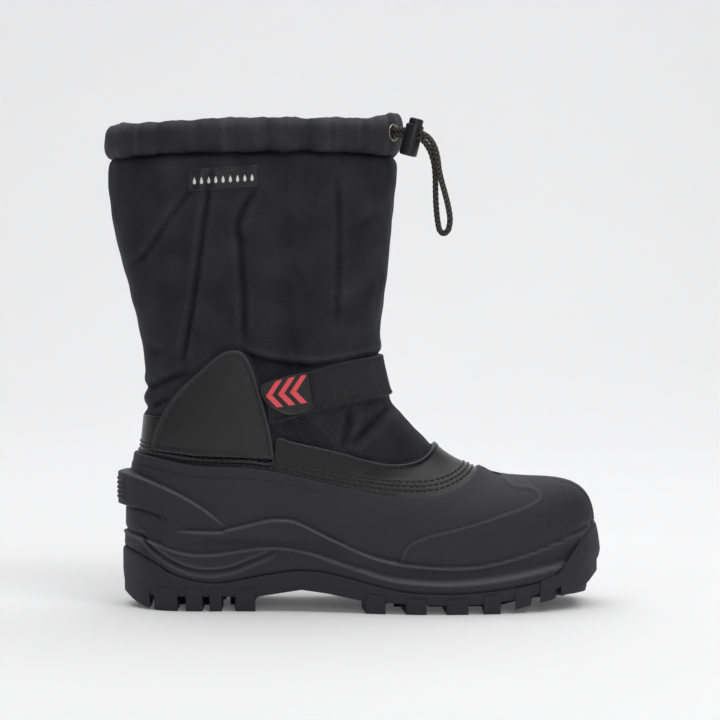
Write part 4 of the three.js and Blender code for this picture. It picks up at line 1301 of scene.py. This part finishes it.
def makeSoleBody(values):
    # The rim and the floor between the lugs
    x = solePlan[:, 0]
    top = np.interp(x, outsoleTop[:, 0], outsoleTop[:, 1])
    roof = np.interp(x, outsoleRoof[:, 0], outsoleRoof[:, 1])
    rings = []
    for share in np.concatenate([np.linspace(0, 0.86, 18), [0.9, 0.94]]):
        z = roof + (top - values["topRound"] - roof) * share / 0.94
        bottom = 0.9 * np.exp(-share * 12)
        ring = solePlan - soleOut * (insetAt(z) + bottom)[:, None]
        rings.append(np.column_stack([ring, z]))
    for turn in np.linspace(0, math.pi / 2, 7)[1:]:
        z = top - values["topRound"] * (1 - math.sin(turn))
        ring = solePlan - soleOut * (insetAt(z) + values["topRound"] * (1 - math.cos(turn)))[:, None]
        rings.append(np.column_stack([ring, z]))
    ring = solePlan - soleOut * (insetAt(top) + values["topIn"])[:, None]
    rings.append(np.column_stack([ring, top - 0.4]))
    rings.append(np.column_stack([ring, np.maximum(top - 6, roof + 1.5)]))
    outer = np.array(rings)
    # Floor rings from the edge towards the middle line
    floor = []
    for share in (1.0, 0.985, 0.95, 0.9, 0.8, 0.65, 0.45, 0.2):
        middleX = np.clip(outer[0][:, 0], -108, 112)
        px = middleX + (outer[0][:, 0] - middleX) * share
        py = outer[0][:, 1] * share
        floor.append(np.column_stack([px, py, np.interp(px, outsoleRoof[:, 0], outsoleRoof[:, 1])]))
    wall = np.vstack([np.array(floor)[::-1], outer[1:]])
    count = len(solePlan)
    faces = [list(f) for f in gridFaces(len(wall), count)]
    points = wall.reshape(-1, 3)
    lowRing = list(range(count))
    topRing = [(len(wall) - 1) * count + k for k in range(count)]
    made = bmesh.new()
    verts = [made.verts.new(tuple(p)) for p in points]
    for f in faces:
        made.faces.new([verts[k] for k in f])
    for ring in (lowRing, topRing[::-1]):
        made.faces.new([verts[k] for k in ring])
    bmesh.ops.triangulate(made, faces=[f for f in made.faces if len(f.verts) > 4])
    bmesh.ops.recalc_face_normals(made, faces=made.faces)
    corners = np.array([v.co[:] for v in made.verts])
    made.verts.index_update()
    facets = [[v.index for v in f.verts] for f in made.faces]
    made.free()
    return sharpen(outward(newPiece("outsole_body", corners, facets, [outsoleRubber])), 50)


# Lugs at the edge: start and end X, slant of the outer side, and how near the middle line they come
edgeLugRows = [
    [-162, -137.5, 0, 6], [-134.5, -119, 0, 15], [-113.5, -102.5, 0, 17], [-98, -90, 0, 17],
    [-83, -70, 2, 15], [1, 13.5, 3, 23], [27, 40, 3, 26], [54, 68, 2, 26], [80, 91, 0, 24],
    [103.5, 113.5, -3, 20], [121, 131, -4, 15], [137, 163, -6, 3.5]]
# Arrow lugs down the middle: start and end X, half width, and how far the arrow points forward
middleLugRows = [
    [-128, -116, 8, 4], [-107, -95, 10, 4], [-86, -75, 9, 4], [2, 14, 15, 5], [22, 36, 19, 5],
    [45, 59, 19, 5], [68, 81, 17, 5], [92, 103, 13, 5], [112, 121, 9, 4]]


def prism(made, plan, low, high, inset, proud):
    # A block with a plan outline; its foot follows the tread line
    rings = []
    for share in (0.0, 0.34, 0.67, 1.0):
        ring = []
        for (x, y), push in zip(plan, inset):
            z = low(x) + (high(x) - low(x)) * share
            shift = (insetAt(np.array(z)) - proud) * push
            ring.append(made.verts.new((x, y - np.sign(y) * shift, float(z))))
        rings.append(ring)
    n = len(plan)
    for a, b in zip(rings, rings[1:]):
        for k in range(n):
            made.faces.new([a[k], a[(k + 1) % n], b[(k + 1) % n], b[k]])
    made.faces.new(rings[0][::-1])
    made.faces.new(rings[-1])


def outlineY(x, side):
    # Half width of the sole outline at x
    half = solePlan[(solePlan[:, 1] < 0) if side < 0 else (solePlan[:, 1] > 0)]
    half = half[np.argsort(half[:, 0])]
    return float(np.interp(x, half[:, 0], half[:, 1]))


def makeLugs(values):
    low = lambda x: float(np.interp(x, lugBottom[:, 0], lugBottom[:, 1]))
    high = lambda x: float(np.interp(x, lugTop[:, 0], lugTop[:, 1]))
    made = bmesh.new()
    soleLow, soleHigh = solePlan[:, 0].min(), solePlan[:, 0].max()
    for start, end, slant, inner in edgeLugRows:
        for side in (-1, 1):
            first, last = max(start + slant, soleLow + 1.4), min(end + slant, soleHigh - 1.4)
            xs = np.linspace(first, last, 14 if last - first > 18 else 9)
            if start == edgeLugRows[0][0]:
                xs = first + (last - first) * np.linspace(0, 1, 14) ** 1.9
            if end == edgeLugRows[-1][1]:
                xs = last - (last - first) * (1 - np.linspace(0, 1, 14)) ** 1.9
            outer = [(x, outlineY(x, side)) for x in xs]
            inside = [(min(end, soleHigh - 5), side * inner), (max(start, soleLow + 5), side * inner)]
            halves = [outlineY(x, side) for x, _ in inside]
            inside = [(x, y if abs(y) < abs(half) else half * 0.6) for (x, y), half in zip(inside, halves)]
            plan = outer + inside
            ends = start == edgeLugRows[0][0] or end == edgeLugRows[-1][1]
            inset = [1.0] * len(outer) + [0.0, 0.0]
            prism(made, plan, low, high, inset, values["endLugProud" if ends else "lugProud"])
    for start, end, half, point in middleLugRows:
        plan = [(start, -half), (end, -half), (end + point, 0), (end, half), (start, half), (start + point, 0)]
        prism(made, plan, low, high, [0.0] * 6, 0.0)
    piece = fromBmesh(made, "outsole_lugs")
    piece.data.materials.append(outsoleRubber)
    bevelled(piece, values["lugBevel"], 3, 40).harden_normals = False
    applied(piece)
    return sharpen(piece, 50)


soleBody = makeSoleBody(sole)
lugs = makeLugs(sole)
finish(soleBody, replaces=["outsole"])
finish(lugs)

print("stage: insole")


def makeInsole():
    source = frame["nodes"]["insole"]
    mesh = source.data.copy()
    made = bmesh.new()
    made.from_mesh(mesh)
    bmesh.ops.remove_doubles(made, verts=made.verts, dist=0.0001)
    made.to_mesh(mesh)
    made.free()
    piece = placed("insole_felt", mesh)
    remesh = piece.modifiers.new("even", "REMESH")
    remesh.mode, remesh.voxel_size = "VOXEL", 0.0022
    soft = piece.modifiers.new("soft", "SMOOTH")
    soft.iterations, soft.factor = 4, 0.5
    applied(piece)
    piece.data.shade_smooth()
    if not piece.data.uv_layers:
        layer = piece.data.uv_layers.new(name="UVMap")
        for loop in piece.data.loops:
            place = piece.data.vertices[loop.vertex_index].co
            layer.data[loop.index].uv = (place.x, place.y)
    piece.data.materials.clear()
    piece.data.materials.append(felt)
    finish(piece, replaces=["insole"])


makeInsole()

print("stage: strap and tab")

strap = {
    "thickness": 2.0, "ribPitch": 1.45, "ribHeight": 0.38, "edgeRound": 0.9, "endX": -60.0,
    "ankle": [-65.0, 0, 145.0]}


def makeStrap(values):
    # Webbing round the front of the ankle, ribs across it
    wide = np.linspace(-0.36, 0.36, 1400)
    cols = 0.5 + wide
    growth = gap
    middleLine = (strapTop + strapBottom) / 2
    middle = surface(crossing(middleLine, cols, growth), cols, growth)
    keep = middle[:, 0] > values["endX"]
    cols, middle = cols[keep], middle[keep]
    along = runOf(middle)
    count = int(along[-1] / values["ribPitch"] * 7)
    cols = np.interp(np.linspace(0, along[-1], count), along, cols)
    marks = np.linspace(0, along[-1], count)
    top = crossing(strapTop, cols, growth)
    low = crossing(strapBottom, cols, growth)
    share = np.array([
        0, 0.006, 0.018, 0.035, 0.06, 0.1, 0.16, 0.24, 0.33, 0.42, 0.5, 0.58, 0.67, 0.76, 0.84, 0.9, 0.94,
        0.965, 0.982, 0.994, 1])
    s = top[None, :] + (low - top)[None, :] * share[:, None]
    base = surface(s, cols[None, :], growth)
    normal = gridNormals(base, wrap=False)
    outwards = base - np.array(values["ankle"])
    normal *= np.sign(np.sum(normal * outwards * [1, 1, 0], axis=2))[..., None]
    across = runOf(base)
    side = np.minimum(across, across[-1:] - across)
    waver = 0.35 * softNoise(base, 22, 71)
    ribs = 0.5 + 0.5 * np.cos((marks[None, :] + waver) * 2 * math.pi / values["ribPitch"])
    height = (values["thickness"] - values["ribHeight"]) * rounded(side + 0.12, values["edgeRound"])
    height += values["ribHeight"] * (ribs ** 0.8) * smoothStep(side, 0.3, 1.4)
    height += 0.35 * bump(side - 1.0, 0.8) + 0.35 * softNoise(base, 26, 72) * smoothStep(side, 0, 4)
    outer = base + normal * height[..., None]
    piece = closedSheet("strap_webbing", outer, base - normal * 0.1, [webbingNylon], gridUv(outer), wrap=False)
    # Painted highlight on the rib tops, painted shade between them and in a line inside each edge
    setPaintedLight(piece, (1.25 * ribs - 0.85) * smoothStep(side, 0.3, 1.4) - 0.35 * bump(side - 2.2, 0.7))
    finish(piece, replaces=["strap"])


makeStrap(strap)

tabOutline = smoothLine([
    [-65, 147.5], [-61.5, 150], [-50, 153.6], [-37, 156.4], [-33.6, 155], [-31.6, 144], [-30.4, 134],
    [-32.5, 131.2], [-40, 128.8], [-47, 128.3], [-54, 131], [-60, 135.5], [-64, 142], [-65, 147.5]], 90)[:-1]
tab = {"growth": 2.6, "thickness": 3.0, "rim": 0.7, "rimWidth": 1.5, "edge": 0.8, "badge": 0.5}


def tabHeight(points, inwards):
    rim = tab["rim"] * (1 - smoothStep(inwards, tab["rimWidth"] - 0.3, tab["rimWidth"] + 0.5))
    return (tab["thickness"] - tab["rim"] + rim) * rounded(inwards + 0.08, tab["edge"])


tabPiece = polarSheet(
    "strap_tab_pad", tabOutline, edgeShares, tabHeight, formTree(tab["growth"]), True, [tabRubber], under=0.3)
finish(tabPiece, replaces=["strap_tab"])


def thickPatch(name, corners, height, tree, lateral, material, slot, lift, edge=0.3, across=24, up=24):
    # A thin raised shape with four side-view corners, top left first and then clockwise
    c = np.array(corners, float)
    u, v = np.meshgrid(np.linspace(0, 1, across), np.linspace(0, 1, up))
    flat = (c[0] * ((1 - u) * (1 - v))[..., None] + c[1] * (u * (1 - v))[..., None]
            + c[2] * (u * v)[..., None] + c[3] * ((1 - u) * v)[..., None])
    points, normals = onSide(tree, flat.reshape(-1, 2), lateral)
    points, normals = points.reshape(up, across, 3), normals.reshape(up, across, 3)
    width = np.linalg.norm(c[1] - c[0])
    tall = np.linalg.norm(c[3] - c[0])
    inwards = np.minimum(np.minimum(u, 1 - u) * width, np.minimum(v, 1 - v) * tall)
    outer = points + normals * (lift + height * rounded(inwards + 0.02, edge))[..., None]
    inner = points + normals * (lift - 0.25)
    piece = closedSheet(name, outer, inner, [material], flat, flat, wrap=False)
    if slot:
        finish(piece)
    return piece


def joinPieces(pieces, name):
    bpy.ops.object.select_all(action="DESELECT")
    for piece in pieces:
        piece.select_set(True)
    bpy.context.view_layer.objects.active = pieces[0]
    bpy.ops.object.join()
    pieces[0].name = name
    return pieces[0]


# Three plain chevrons, one inside the next
chevron = {"tips": [-61.0, -53.2, -45.6], "arm": 11.5, "rise": 9.2, "bar": 4.2, "middleZ": 142.6, "lean": 0.16}


def makeChevrons(values):
    bars = []
    for tip in values["tips"]:
        for way in (1, -1):
            z0 = values["middleZ"] + values["lean"] * (tip + 50)
            rise = values["rise"] * way
            start = np.array([tip, z0])
            end = np.array([tip + values["arm"] * 0.62, z0 + rise + values["lean"] * values["arm"]])
            bar = np.array([values["bar"], values["bar"] * values["lean"]])
            corners = [start, start + bar, end + bar, end]
            bars.append(thickPatch(
                "chevronBar", corners, tab["badge"], formTree(tab["growth"]), True, badgeRubber, None,
                tab["thickness"] - tab["rim"] - 0.1, across=8, up=16))
    finish(joinPieces(bars, "badge_chevrons"))


makeChevrons(chevron)

print("stage: label")

label = {"corners": [[-111, 287.5], [-65.3, 290.2], [-65.6, 275.9], [-110.2, 273]], "thickness": 0.6, "lift": 0.3}
labelPiece = thickPatch(
    "label_patch", label["corners"], label["thickness"], upperTree, True, labelSatin, "label_fabric", label["lift"],
    edge=0.4, across=90, up=36)
drops = {"count": 9, "firstX": -106.6, "step": 4.65, "middleZ": 280.7, "tall": 4.6, "wide": 2.8, "lean": 0.058}


def makeDrops(values):
    # A row of small plain drops
    points, faces = [], []
    tree = BVHTree.FromPolygons([v.co / mm - Vector(tableOrigin) for v in labelPiece.data.vertices],
                                [tuple(p.vertices) for p in labelPiece.data.polygons])
    for k in range(values["count"]):
        cx = values["firstX"] + k * values["step"]
        cz = values["middleZ"] + values["lean"] * (cx + 88)
        turn = np.linspace(0, 2 * math.pi, 20, endpoint=False)
        x = cx + values["wide"] / 2 * np.sin(turn) * np.sin(turn / 2) ** 1.3
        z = cz + values["tall"] / 2 * np.cos(turn)
        found, normals = onSide(tree, np.column_stack([x, z]), True, 0.14)
        middle, _ = onSide(tree, np.array([[cx, cz]]), True, 0.16)
        start = len(points)
        points += list(found) + list(found - normals * 0.25) + [middle[0]]
        for j in range(20):
            n = (j + 1) % 20
            faces += [[start + j, start + n, start + 40], [start + 20 + j, start + 20 + n, start + n, start + j]]
        faces.append([start + 20 + j for j in range(20)][::-1])
    piece = outward(newPiece("label_drops", points, faces, [whitePrint]))
    finish(piece)


makeDrops(drops)

print("stage: eyelet, cord lock and cord")

eyelet = {
    "place": [21.3, -22.3, 311.6], "facing": -36, "outer": 5.8, "hole": 3.9, "barrel": 4.5, "flange": 1.4,
    "barrelLength": 5.0, "rolled": 0.95}
lock = {
    "centre": [34.4, -32.1, 310.1], "radius": 5.85, "length": 20.5, "bore": 4.9, "floor": 2.4, "tilt": 14.3,
    "slotHeight": 14.2, "slotWidth": 4.2, "slotTall": 7.8, "buttonRadius": 4.6, "buttonBottom": 6.0,
    "proud": 4.2, "travel": 3.0, "footRound": 1.6}
facing = math.radians(eyelet["facing"])
eyeletOut = Vector((math.cos(facing), math.sin(facing), 0))


def turned(name, profile, place, material, segments=64):
    # A solid of revolution about the local Z, from radius and height
    made = bmesh.new()
    rings = []
    for radius, height in profile:
        if radius < 1e-6:
            rings.append([made.verts.new((0, 0, height))])
        else:
            rings.append([made.verts.new((radius * math.cos(a), radius * math.sin(a), height))
                          for a in np.linspace(0, 2 * math.pi, segments, endpoint=False)])
    for a, b in zip(rings, rings[1:]):
        for k in range(segments):
            n = (k + 1) % segments
            corners = [a[k % len(a)], a[n % len(a)], b[n % len(b)], b[k % len(b)]]
            unique = list(dict.fromkeys(corners))
            if len(unique) > 2:
                made.faces.new(unique)
    bmesh.ops.remove_doubles(made, verts=made.verts, dist=1e-4)
    piece = fromBmesh(made, name, place)
    piece.data.materials.append(material)
    return piece


def basis(x, y, z, place):
    made = Matrix.Identity(4)
    for k, axis in enumerate((x, y, z)):
        for r in range(3):
            made[r][k] = axis[r]
    for r in range(3):
        made[r][3] = place[r]
    return made


def roundedEdge(radius, height, size, outwards=1, steps=5):
    # Quarter circle from the wall at this radius to the face at this height
    return [(radius - size * (1 - math.cos(a)), height - outwards * size * (1 - math.sin(a)))
            for a in np.linspace(0, math.pi / 2, steps)]


up = Vector((0, 0, 1))
eyeletFrame = basis(up.cross(eyeletOut), up, eyeletOut, eyelet["place"])


def makeEyelet(v):
    face = gap + v["flange"]
    profile = [(v["hole"], -v["barrelLength"]), (v["barrel"], -v["barrelLength"]), (v["barrel"], 0.0)]
    profile += [(v["outer"] - 0.3, 0.0), (v["outer"], 0.35)] + roundedEdge(v["outer"], face, 0.9)
    inner, size = v["hole"] + v["rolled"], v["rolled"]
    profile += [(inner, face)]
    profile += [
        (inner - size * math.sin(a), face - size * (1 - math.cos(a))) for a in np.linspace(0.3, math.pi / 2, 5)]
    profile += [(v["hole"], -v["barrelLength"])]
    piece = turned("eyelet_ring", profile, eyeletFrame, agedBrass)
    sharpen(piece, 40)
    finish(piece, replaces=["eyelet"])


makeEyelet(eyelet)

tilt = math.radians(lock["tilt"])
lockUp = Vector((math.sin(tilt), 0, math.cos(tilt)))
lockAlong = (eyeletOut - lockUp * eyeletOut.dot(lockUp)).normalized()
lockFrame = basis(lockAlong, lockUp.cross(lockAlong), lockUp, Vector(lock["centre"]) - lockUp * lock["slotHeight"])


def slotCutter(low, high, width):
    # A bar with round ends along the local X
    made = bmesh.new()
    radius = width / 2
    loop = []
    for start, middle in ((0, high - radius), (math.pi, low + radius)):
        turns = np.linspace(start, start + math.pi, 17)
        loop += [(radius * math.cos(a), middle + radius * math.sin(a)) for a in turns]
    near = [made.verts.new((-12, y, z)) for y, z in loop]
    far = [made.verts.new((12, y, z)) for y, z in loop]
    for k in range(len(loop)):
        n = (k + 1) % len(loop)
        made.faces.new([near[k], near[n], far[n], far[k]])
    made.faces.new(near)
    made.faces.new(far[::-1])
    return fromBmesh(made, "slotCutter", lockFrame)


def cutBy(piece, cutter, bevel):
    cut = piece.modifiers.new("slot", "BOOLEAN")
    cut.operation, cut.object, cut.solver = "DIFFERENCE", cutter, "EXACT"
    bevelled(piece, bevel, 2, 50)
    applied(piece)
    bpy.data.objects.remove(cutter)
    sharpen(piece, 40)


def makeLock(v):
    low, high = v["slotHeight"] - v["slotTall"] / 2, v["slotHeight"] + v["slotTall"] / 2
    foot = v["footRound"]
    profile = [(0, 0)]
    profile += [
        (v["radius"] - foot + foot * math.sin(a), foot * (1 - math.cos(a))) for a in np.linspace(0, math.pi / 2, 6)]
    profile += roundedEdge(v["radius"], v["length"], 0.6)
    profile += [(v["bore"] + 0.1, v["length"]), (v["bore"], v["length"] - 0.3)]
    profile += [(v["bore"], v["floor"]), (0, v["floor"])]
    body = turned("cord_lock_barrel", profile, lockFrame, lockPlastic)
    cutBy(body, slotCutter(low, high, v["slotWidth"]), 0.25)
    top = v["length"] + v["proud"]
    profile = [(0, v["buttonBottom"]), (v["buttonRadius"], v["buttonBottom"])]
    profile += roundedEdge(v["buttonRadius"], top, 1.2, steps=7)
    profile += [(1.6, top - 0.02), (1.2, top - 0.25), (0, top - 0.3)]
    button = turned("cord_lock_plunger", profile, lockFrame, lockPlastic)
    cutBy(button, slotCutter(low, high + v["travel"], v["slotWidth"]), 0.2)
    finish(body, replaces=["cord_lock_body"])
    finish(button, body="lock_button", replaces=["cord_lock_button"])
    return body, button


lockBody, lockButton = makeLock(lock)

cord = {"diameter": 3.4, "fullness": 0.25, "plaits": 3, "pitch": 9.5, "relief": 0.3, "around": 36}
cordRoute = np.array([
    [16.0, -18.4, 313.4], [22.1, -22.9, 313.4], [27.1, -26.4, 313.3], [34.8, -32.1, 311.8], [40.2, -36.3, 310.4],
    [43.6, -39.0, 308.4], [46.6, -41.6, 304.6], [48.8, -43.9, 299.4], [50.1, -45.6, 293.2], [50.9, -46.9, 286.6],
    [52.6, -49.0, 279.0], [54.6, -51.3, 271.5], [56.3, -53.4, 264.5], [57.5, -55.1, 257.6], [57.6, -55.4, 253.0],
    [56.5, -53.6, 248.0], [53.9, -49.4, 245.9], [51.4, -45.1, 248.0], [50.3, -43.3, 253.0], [49.5, -42.0, 259.5],
    [49.0, -41.2, 267.0], [48.8, -41.2, 274.5], [48.7, -41.8, 281.5], [48.2, -42.4, 288.0], [47.0, -42.1, 294.2],
    [45.1, -40.6, 299.6], [42.5, -38.3, 303.9], [39.4, -36.3, 307.0], [34.0, -32.1, 308.4], [27.0, -26.4, 309.7],
    [22.1, -22.9, 309.8], [16.0, -18.4, 309.8]])


def smoothPath(points, spacing):
    # A smooth route in even steps, and its length
    fine = smoothLine(points, len(points) * 40)
    along = runOf(fine)
    marks = np.linspace(0, along[-1], int(along[-1] / spacing) + 1)
    return np.stack([np.interp(marks, along, fine[:, k]) for k in range(3)], axis=1), along[-1]


def makeCord(v):
    # A plaited sheath: two sets of strands cross round the core
    path, length = smoothPath(cordRoute, 0.3)
    ahead = np.gradient(path, axis=0)
    ahead /= np.linalg.norm(ahead, axis=1)[:, None]
    side = np.array([0.0, 0, 1.0])
    sides = []
    for d in ahead:
        side = side - d * (side @ d)
        side /= np.linalg.norm(side)
        sides.append(side)
    sides = np.array(sides)
    other = np.cross(ahead, sides)
    turn = np.linspace(0, 2 * math.pi, v["around"], endpoint=False)
    along = np.linspace(0, length, len(path))[:, None]
    lead = 2 * math.pi * along / v["pitch"]
    right = np.cos(v["plaits"] * turn[None, :] + lead * 3)
    left = np.cos(v["plaits"] * turn[None, :] - lead * 3)
    over = np.maximum(right, left)
    radius = v["diameter"] / 2 + v["fullness"] - v["relief"] * (1 - np.clip(over, -0.2, 1))
    ring = np.cos(turn)[None, :, None] * sides[:, None, :] + np.sin(turn)[None, :, None] * other[:, None, :]
    grid = path[:, None, :] + radius[..., None] * ring
    rows, cols = grid.shape[:2]
    faces = [list(f) for f in gridFaces(rows, cols)]
    points = np.vstack([grid.reshape(-1, 3), path[:1], path[-1:]])
    n = rows * cols
    faces += [[(k + 1) % cols, k, n] for k in range(cols)]
    faces += [[(rows - 1) * cols + k, (rows - 1) * cols + (k + 1) % cols, n + 1] for k in range(cols)]
    uv = np.stack(np.broadcast_arrays(turn[None, :] * v["diameter"] / 2, along), axis=-1).reshape(-1, 2)
    uv = np.vstack([uv, [[0, 0], [0, length]]])
    piece = outward(newPiece("drawcord_braid", points, faces, [cordPolyester], uv))
    # Painted highlight on the strand tops and painted shade between them
    setPaintedLight(piece, 1.5 * np.clip(over, -0.2, 1) - 0.9)
    finish(piece, replaces=["drawcord"])
    print("cord length in millimetres:", round(length, 1))


makeCord(cord)

print("stage: stitches")


def stitchTree():
    # Thread laid in even stitches along a path, each one a small bead that tapers to its ends
    tree = bpy.data.node_groups.new("stitchRow", "GeometryNodeTree")
    tree.interface.new_socket("Geometry", in_out="INPUT", socket_type="NodeSocketGeometry")
    for name, value in (("Pitch", 0.0035), ("Length", 0.0029), ("Thickness", 0.0007)):
        tree.interface.new_socket(name, in_out="INPUT", socket_type="NodeSocketFloat").default_value = value
    tree.interface.new_socket("Thread", in_out="INPUT", socket_type="NodeSocketMaterial")
    tree.interface.new_socket("Geometry", in_out="OUTPUT", socket_type="NodeSocketGeometry")
    start = addNode(tree, "NodeGroupInput")
    curve = addNode(tree, "GeometryNodeMeshToCurve", {"Mesh": start.outputs["Geometry"]})
    even = addNode(tree, "GeometryNodeResampleCurve", {
        "Curve": curve.outputs[0], "Length": start.outputs["Pitch"]}, mode="LENGTH")
    tangent = addNode(tree, "GeometryNodeInputTangent")
    facing = addNode(tree, "FunctionNodeAlignRotationToVector", {"Vector": tangent.outputs[0]}, axis="Z")
    bead = addNode(tree, "GeometryNodeMeshUVSphere", {"Segments": 6, "Rings": 6, "Radius": 0.5})
    size = addNode(tree, "ShaderNodeCombineXYZ", {
        "X": start.outputs["Thickness"], "Y": start.outputs["Thickness"], "Z": start.outputs["Length"]})
    laid = addNode(tree, "GeometryNodeInstanceOnPoints", {
        "Points": even.outputs[0], "Instance": bead.outputs[0], "Rotation": facing.outputs[0],
        "Scale": size.outputs[0]})
    real = addNode(tree, "GeometryNodeRealizeInstances", {"Geometry": laid.outputs[0]})
    smooth = addNode(tree, "GeometryNodeSetShadeSmooth", {"Geometry": real.outputs[0]})
    thread = addNode(tree, "GeometryNodeSetMaterial", {
        "Geometry": smooth.outputs[0], "Material": start.outputs["Thread"]})
    end = addNode(tree, "NodeGroupOutput")
    tree.links.new(thread.outputs[0], end.inputs[0])
    return tree


stitchRow = stitchTree()


def makeStitches(name, paths, pitch, length, thickness):
    points, edges = [], []
    for path in paths:
        start = len(points)
        points += [tuple(p) for p in toFrame(path)]
        edges += [(start + k, start + k + 1) for k in range(len(path) - 1)]
    mesh = bpy.data.meshes.new(name)
    mesh.from_pydata(points, edges, [])
    piece = placed(name, mesh)
    rows = piece.modifiers.new("stitches", "NODES")
    rows.node_group = stitchRow
    sockets = {item.name: item.identifier for item in stitchRow.interface.items_tree if item.in_out == "INPUT"}
    rows[sockets["Pitch"]] = pitch * mm
    rows[sockets["Length"]] = length * mm
    rows[sockets["Thickness"]] = thickness * mm
    rows[sockets["Thread"]] = threadPolyester
    applied(piece)
    piece.data.materials.clear()
    piece.data.materials.append(threadPolyester)
    finish(piece)


def surfaceTree(*names):
    # One search surface for one or more finished pieces, in millimetres
    points, faces = [], []
    for name in names:
        mesh, start = bpy.data.objects[name].data, len(points)
        points += [v.co / mm - Vector(tableOrigin) for v in mesh.vertices]
        faces += [[start + k for k in p.vertices] for p in mesh.polygons]
    return BVHTree.FromPolygons(points, faces)


bandTree = surfaceTree("leather_band_sheet", "ankle_patch_lateral_sheet", "ankle_patch_medial_sheet", "heel_stay")


def fanPath(line, tree, lift, keep=None):
    # A side-view line laid round the band, dropped square onto the surfaces in the tree
    rows = np.array([fanPoint(fanBand, fanCross(fanBand, offsetLine(line, side))[None])[0] for side in (1, 0, -1)])
    points, normals = rows[1], outNormals(rows)[1]
    if keep is None:
        points, normals = np.vstack([points, points[:1]]), np.vstack([normals, normals[:1]])
    else:
        kept = keep(points)
        points, normals = points[kept], normals[kept]
    made = []
    for point, normal in zip(points, normals):
        hit = tree.ray_cast(Vector(point + normal * 7), Vector(-normal), 12)[0]
        hit = tree.find_nearest(Vector(point + normal * 2))[0] if hit is None else hit
        made.append(np.array(hit) + normal * lift)
    return np.array(made)


lipPaths = [fanPath(offsetLine(shellLip, rise), bandTree, 0.15) for rise in stitchRises]
makeStitches("band_lip_stitches", lipPaths, 4.1, 3.1, 1.15)
frontTop = offsetLine(bandTop[bandTop[:, 0] > -54.4], -2.9)
frontPaths = [
    fanPath(frontTop, bandTree, 0.12, lambda p: (p[:, 0] > -51) & (p[:, 1] * way > 0)) for way in (1, -1)]
makeStitches("band_top_stitches", frontPaths, 3.4, 2.6, 0.9)
patchPaths = []
for patchName, lateral in (("ankle_patch_lateral", True), ("ankle_patch_medial", False)):
    flat = offsetLine(patchOutline, -3.2)[3:-3]
    patchPaths.append(onSide(surfaceTree(patchName + "_sheet"), flat, lateral, 0.12)[0])
makeStitches("patch_stitches", patchPaths, 3.4, 2.5, 1.0)
seamPaths = []
for lateral in (True, False):
    flat = offsetLine(smoothLine(foldRows[0][4], 90), 2.8)
    flat = flat[(flat[:, 1] < 290) & ~insideOf(np.insert(flat, 1, 0, axis=1), patchClosed)]
    seamPaths.append(onSide(upperTree, flat, lateral, 0.1)[0])
makeStitches("shaft_stitches", seamPaths, 2.6, 2.0, 0.5)
labelTree = surfaceTree("label_patch")
labelCorners = np.array(label["corners"], float)
toMiddle = labelCorners.mean(axis=0) - labelCorners
labelCorners += toMiddle / np.abs(toMiddle) * 1.1
sides = [np.linspace(labelCorners[k], labelCorners[(k + 1) % 4], 40, endpoint=False) for k in range(4)]
loop = np.vstack(sides + [labelCorners[:1]])
makeStitches("label_stitches", [onSide(labelTree, loop, True, 0.08)[0]], 2.0, 1.5, 0.4)

print("stage: floor and lights")

studio = {"key": 10.0, "fill": 0.8, "front": 8.5, "top": 61.0, "back": 3.0, "world": 0.06, "glow": 0.07}


def makeFloor(values):
    # A pale sweep: flat under the boot, curving up behind
    profile = [(-3.2, 0.0), (1.2, 0.0)]
    profile += [(1.2 + 0.9 * math.sin(a), 0.9 * (1 - math.cos(a))) for a in np.linspace(0, math.pi / 2, 24)[1:]]
    profile += [(2.1, 4.0)]
    points = [(x, y, z - 0.0002) for y, z in profile for x in (-5.0, 5.0)]
    faces = [(2 * k, 2 * k + 1, 2 * k + 3, 2 * k + 2) for k in range(len(profile) - 1)]
    mesh = bpy.data.meshes.new("studioFloor")
    mesh.from_pydata(points, [], faces)
    # Paper with a faint glow of its own, so that the ground stays near white
    material, tree, shader = newMaterial("paperSweep")
    place = addNode(tree, "ShaderNodeTexCoord").outputs["Object"]
    speck = addNode(tree, "ShaderNodeTexNoise", {"Vector": place, "Scale": 3.0, "Detail": 2.0}).outputs["Fac"]
    tree.links.new(mixColours(tree, speck, "#F3F3F4", "#F7F7F8"), shader.inputs["Base Color"])
    setInputs(shader, {
        "Roughness": 0.85, "Specular IOR Level": 0.1,
        "Emission Color": hexColour("#FFFFFF"), "Emission Strength": values["glow"]})
    mesh.materials.append(material)
    mesh.shade_smooth()
    placed("studioFloor", mesh)


makeFloor(studio)


def makeLight(name, place, aim, size, power, colour="#FFFFFF"):
    data = bpy.data.lights.new(name, "AREA")
    data.shape, data.size, data.size_y = "RECTANGLE", size[0], size[1]
    data.energy = power
    data.color = hexColour(colour)[:3]
    light = placed(name, data)
    light.location = place
    light.rotation_euler = (Vector(aim) - Vector(place)).to_track_quat("-Z", "Y").to_euler()


makeLight("topBox", (0.0, 0.2, 2.6), (0, 0.2, 0), (3.6, 3.4), studio["top"])
makeLight("keyBox", (0.9, -1.1, 1.9), (0.02, 0, 0.12), (0.9, 0.9), studio["key"])
makeLight("fillBox", (-1.6, -1.1, 1.2), (0, 0, 0.2), (0.8, 1.2), studio["fill"])
makeLight("frontBox", (0.35, -2.3, 0.95), (0, 0, 0.17), (0.9, 0.7), studio["front"])
makeLight("backBox", (0.0, 0.6, 2.2), (0, 2.1, 0.8), (3.0, 0.6), studio["back"])

world = bpy.data.worlds.new("studioWorld")
bpy.context.scene.world = world
world.use_nodes = True
setInputs(world.node_tree.nodes["Background"], {"Color": hexColour("#F2F2F3"), "Strength": studio["world"]})
bpy.context.scene.view_settings.view_transform = "Standard"
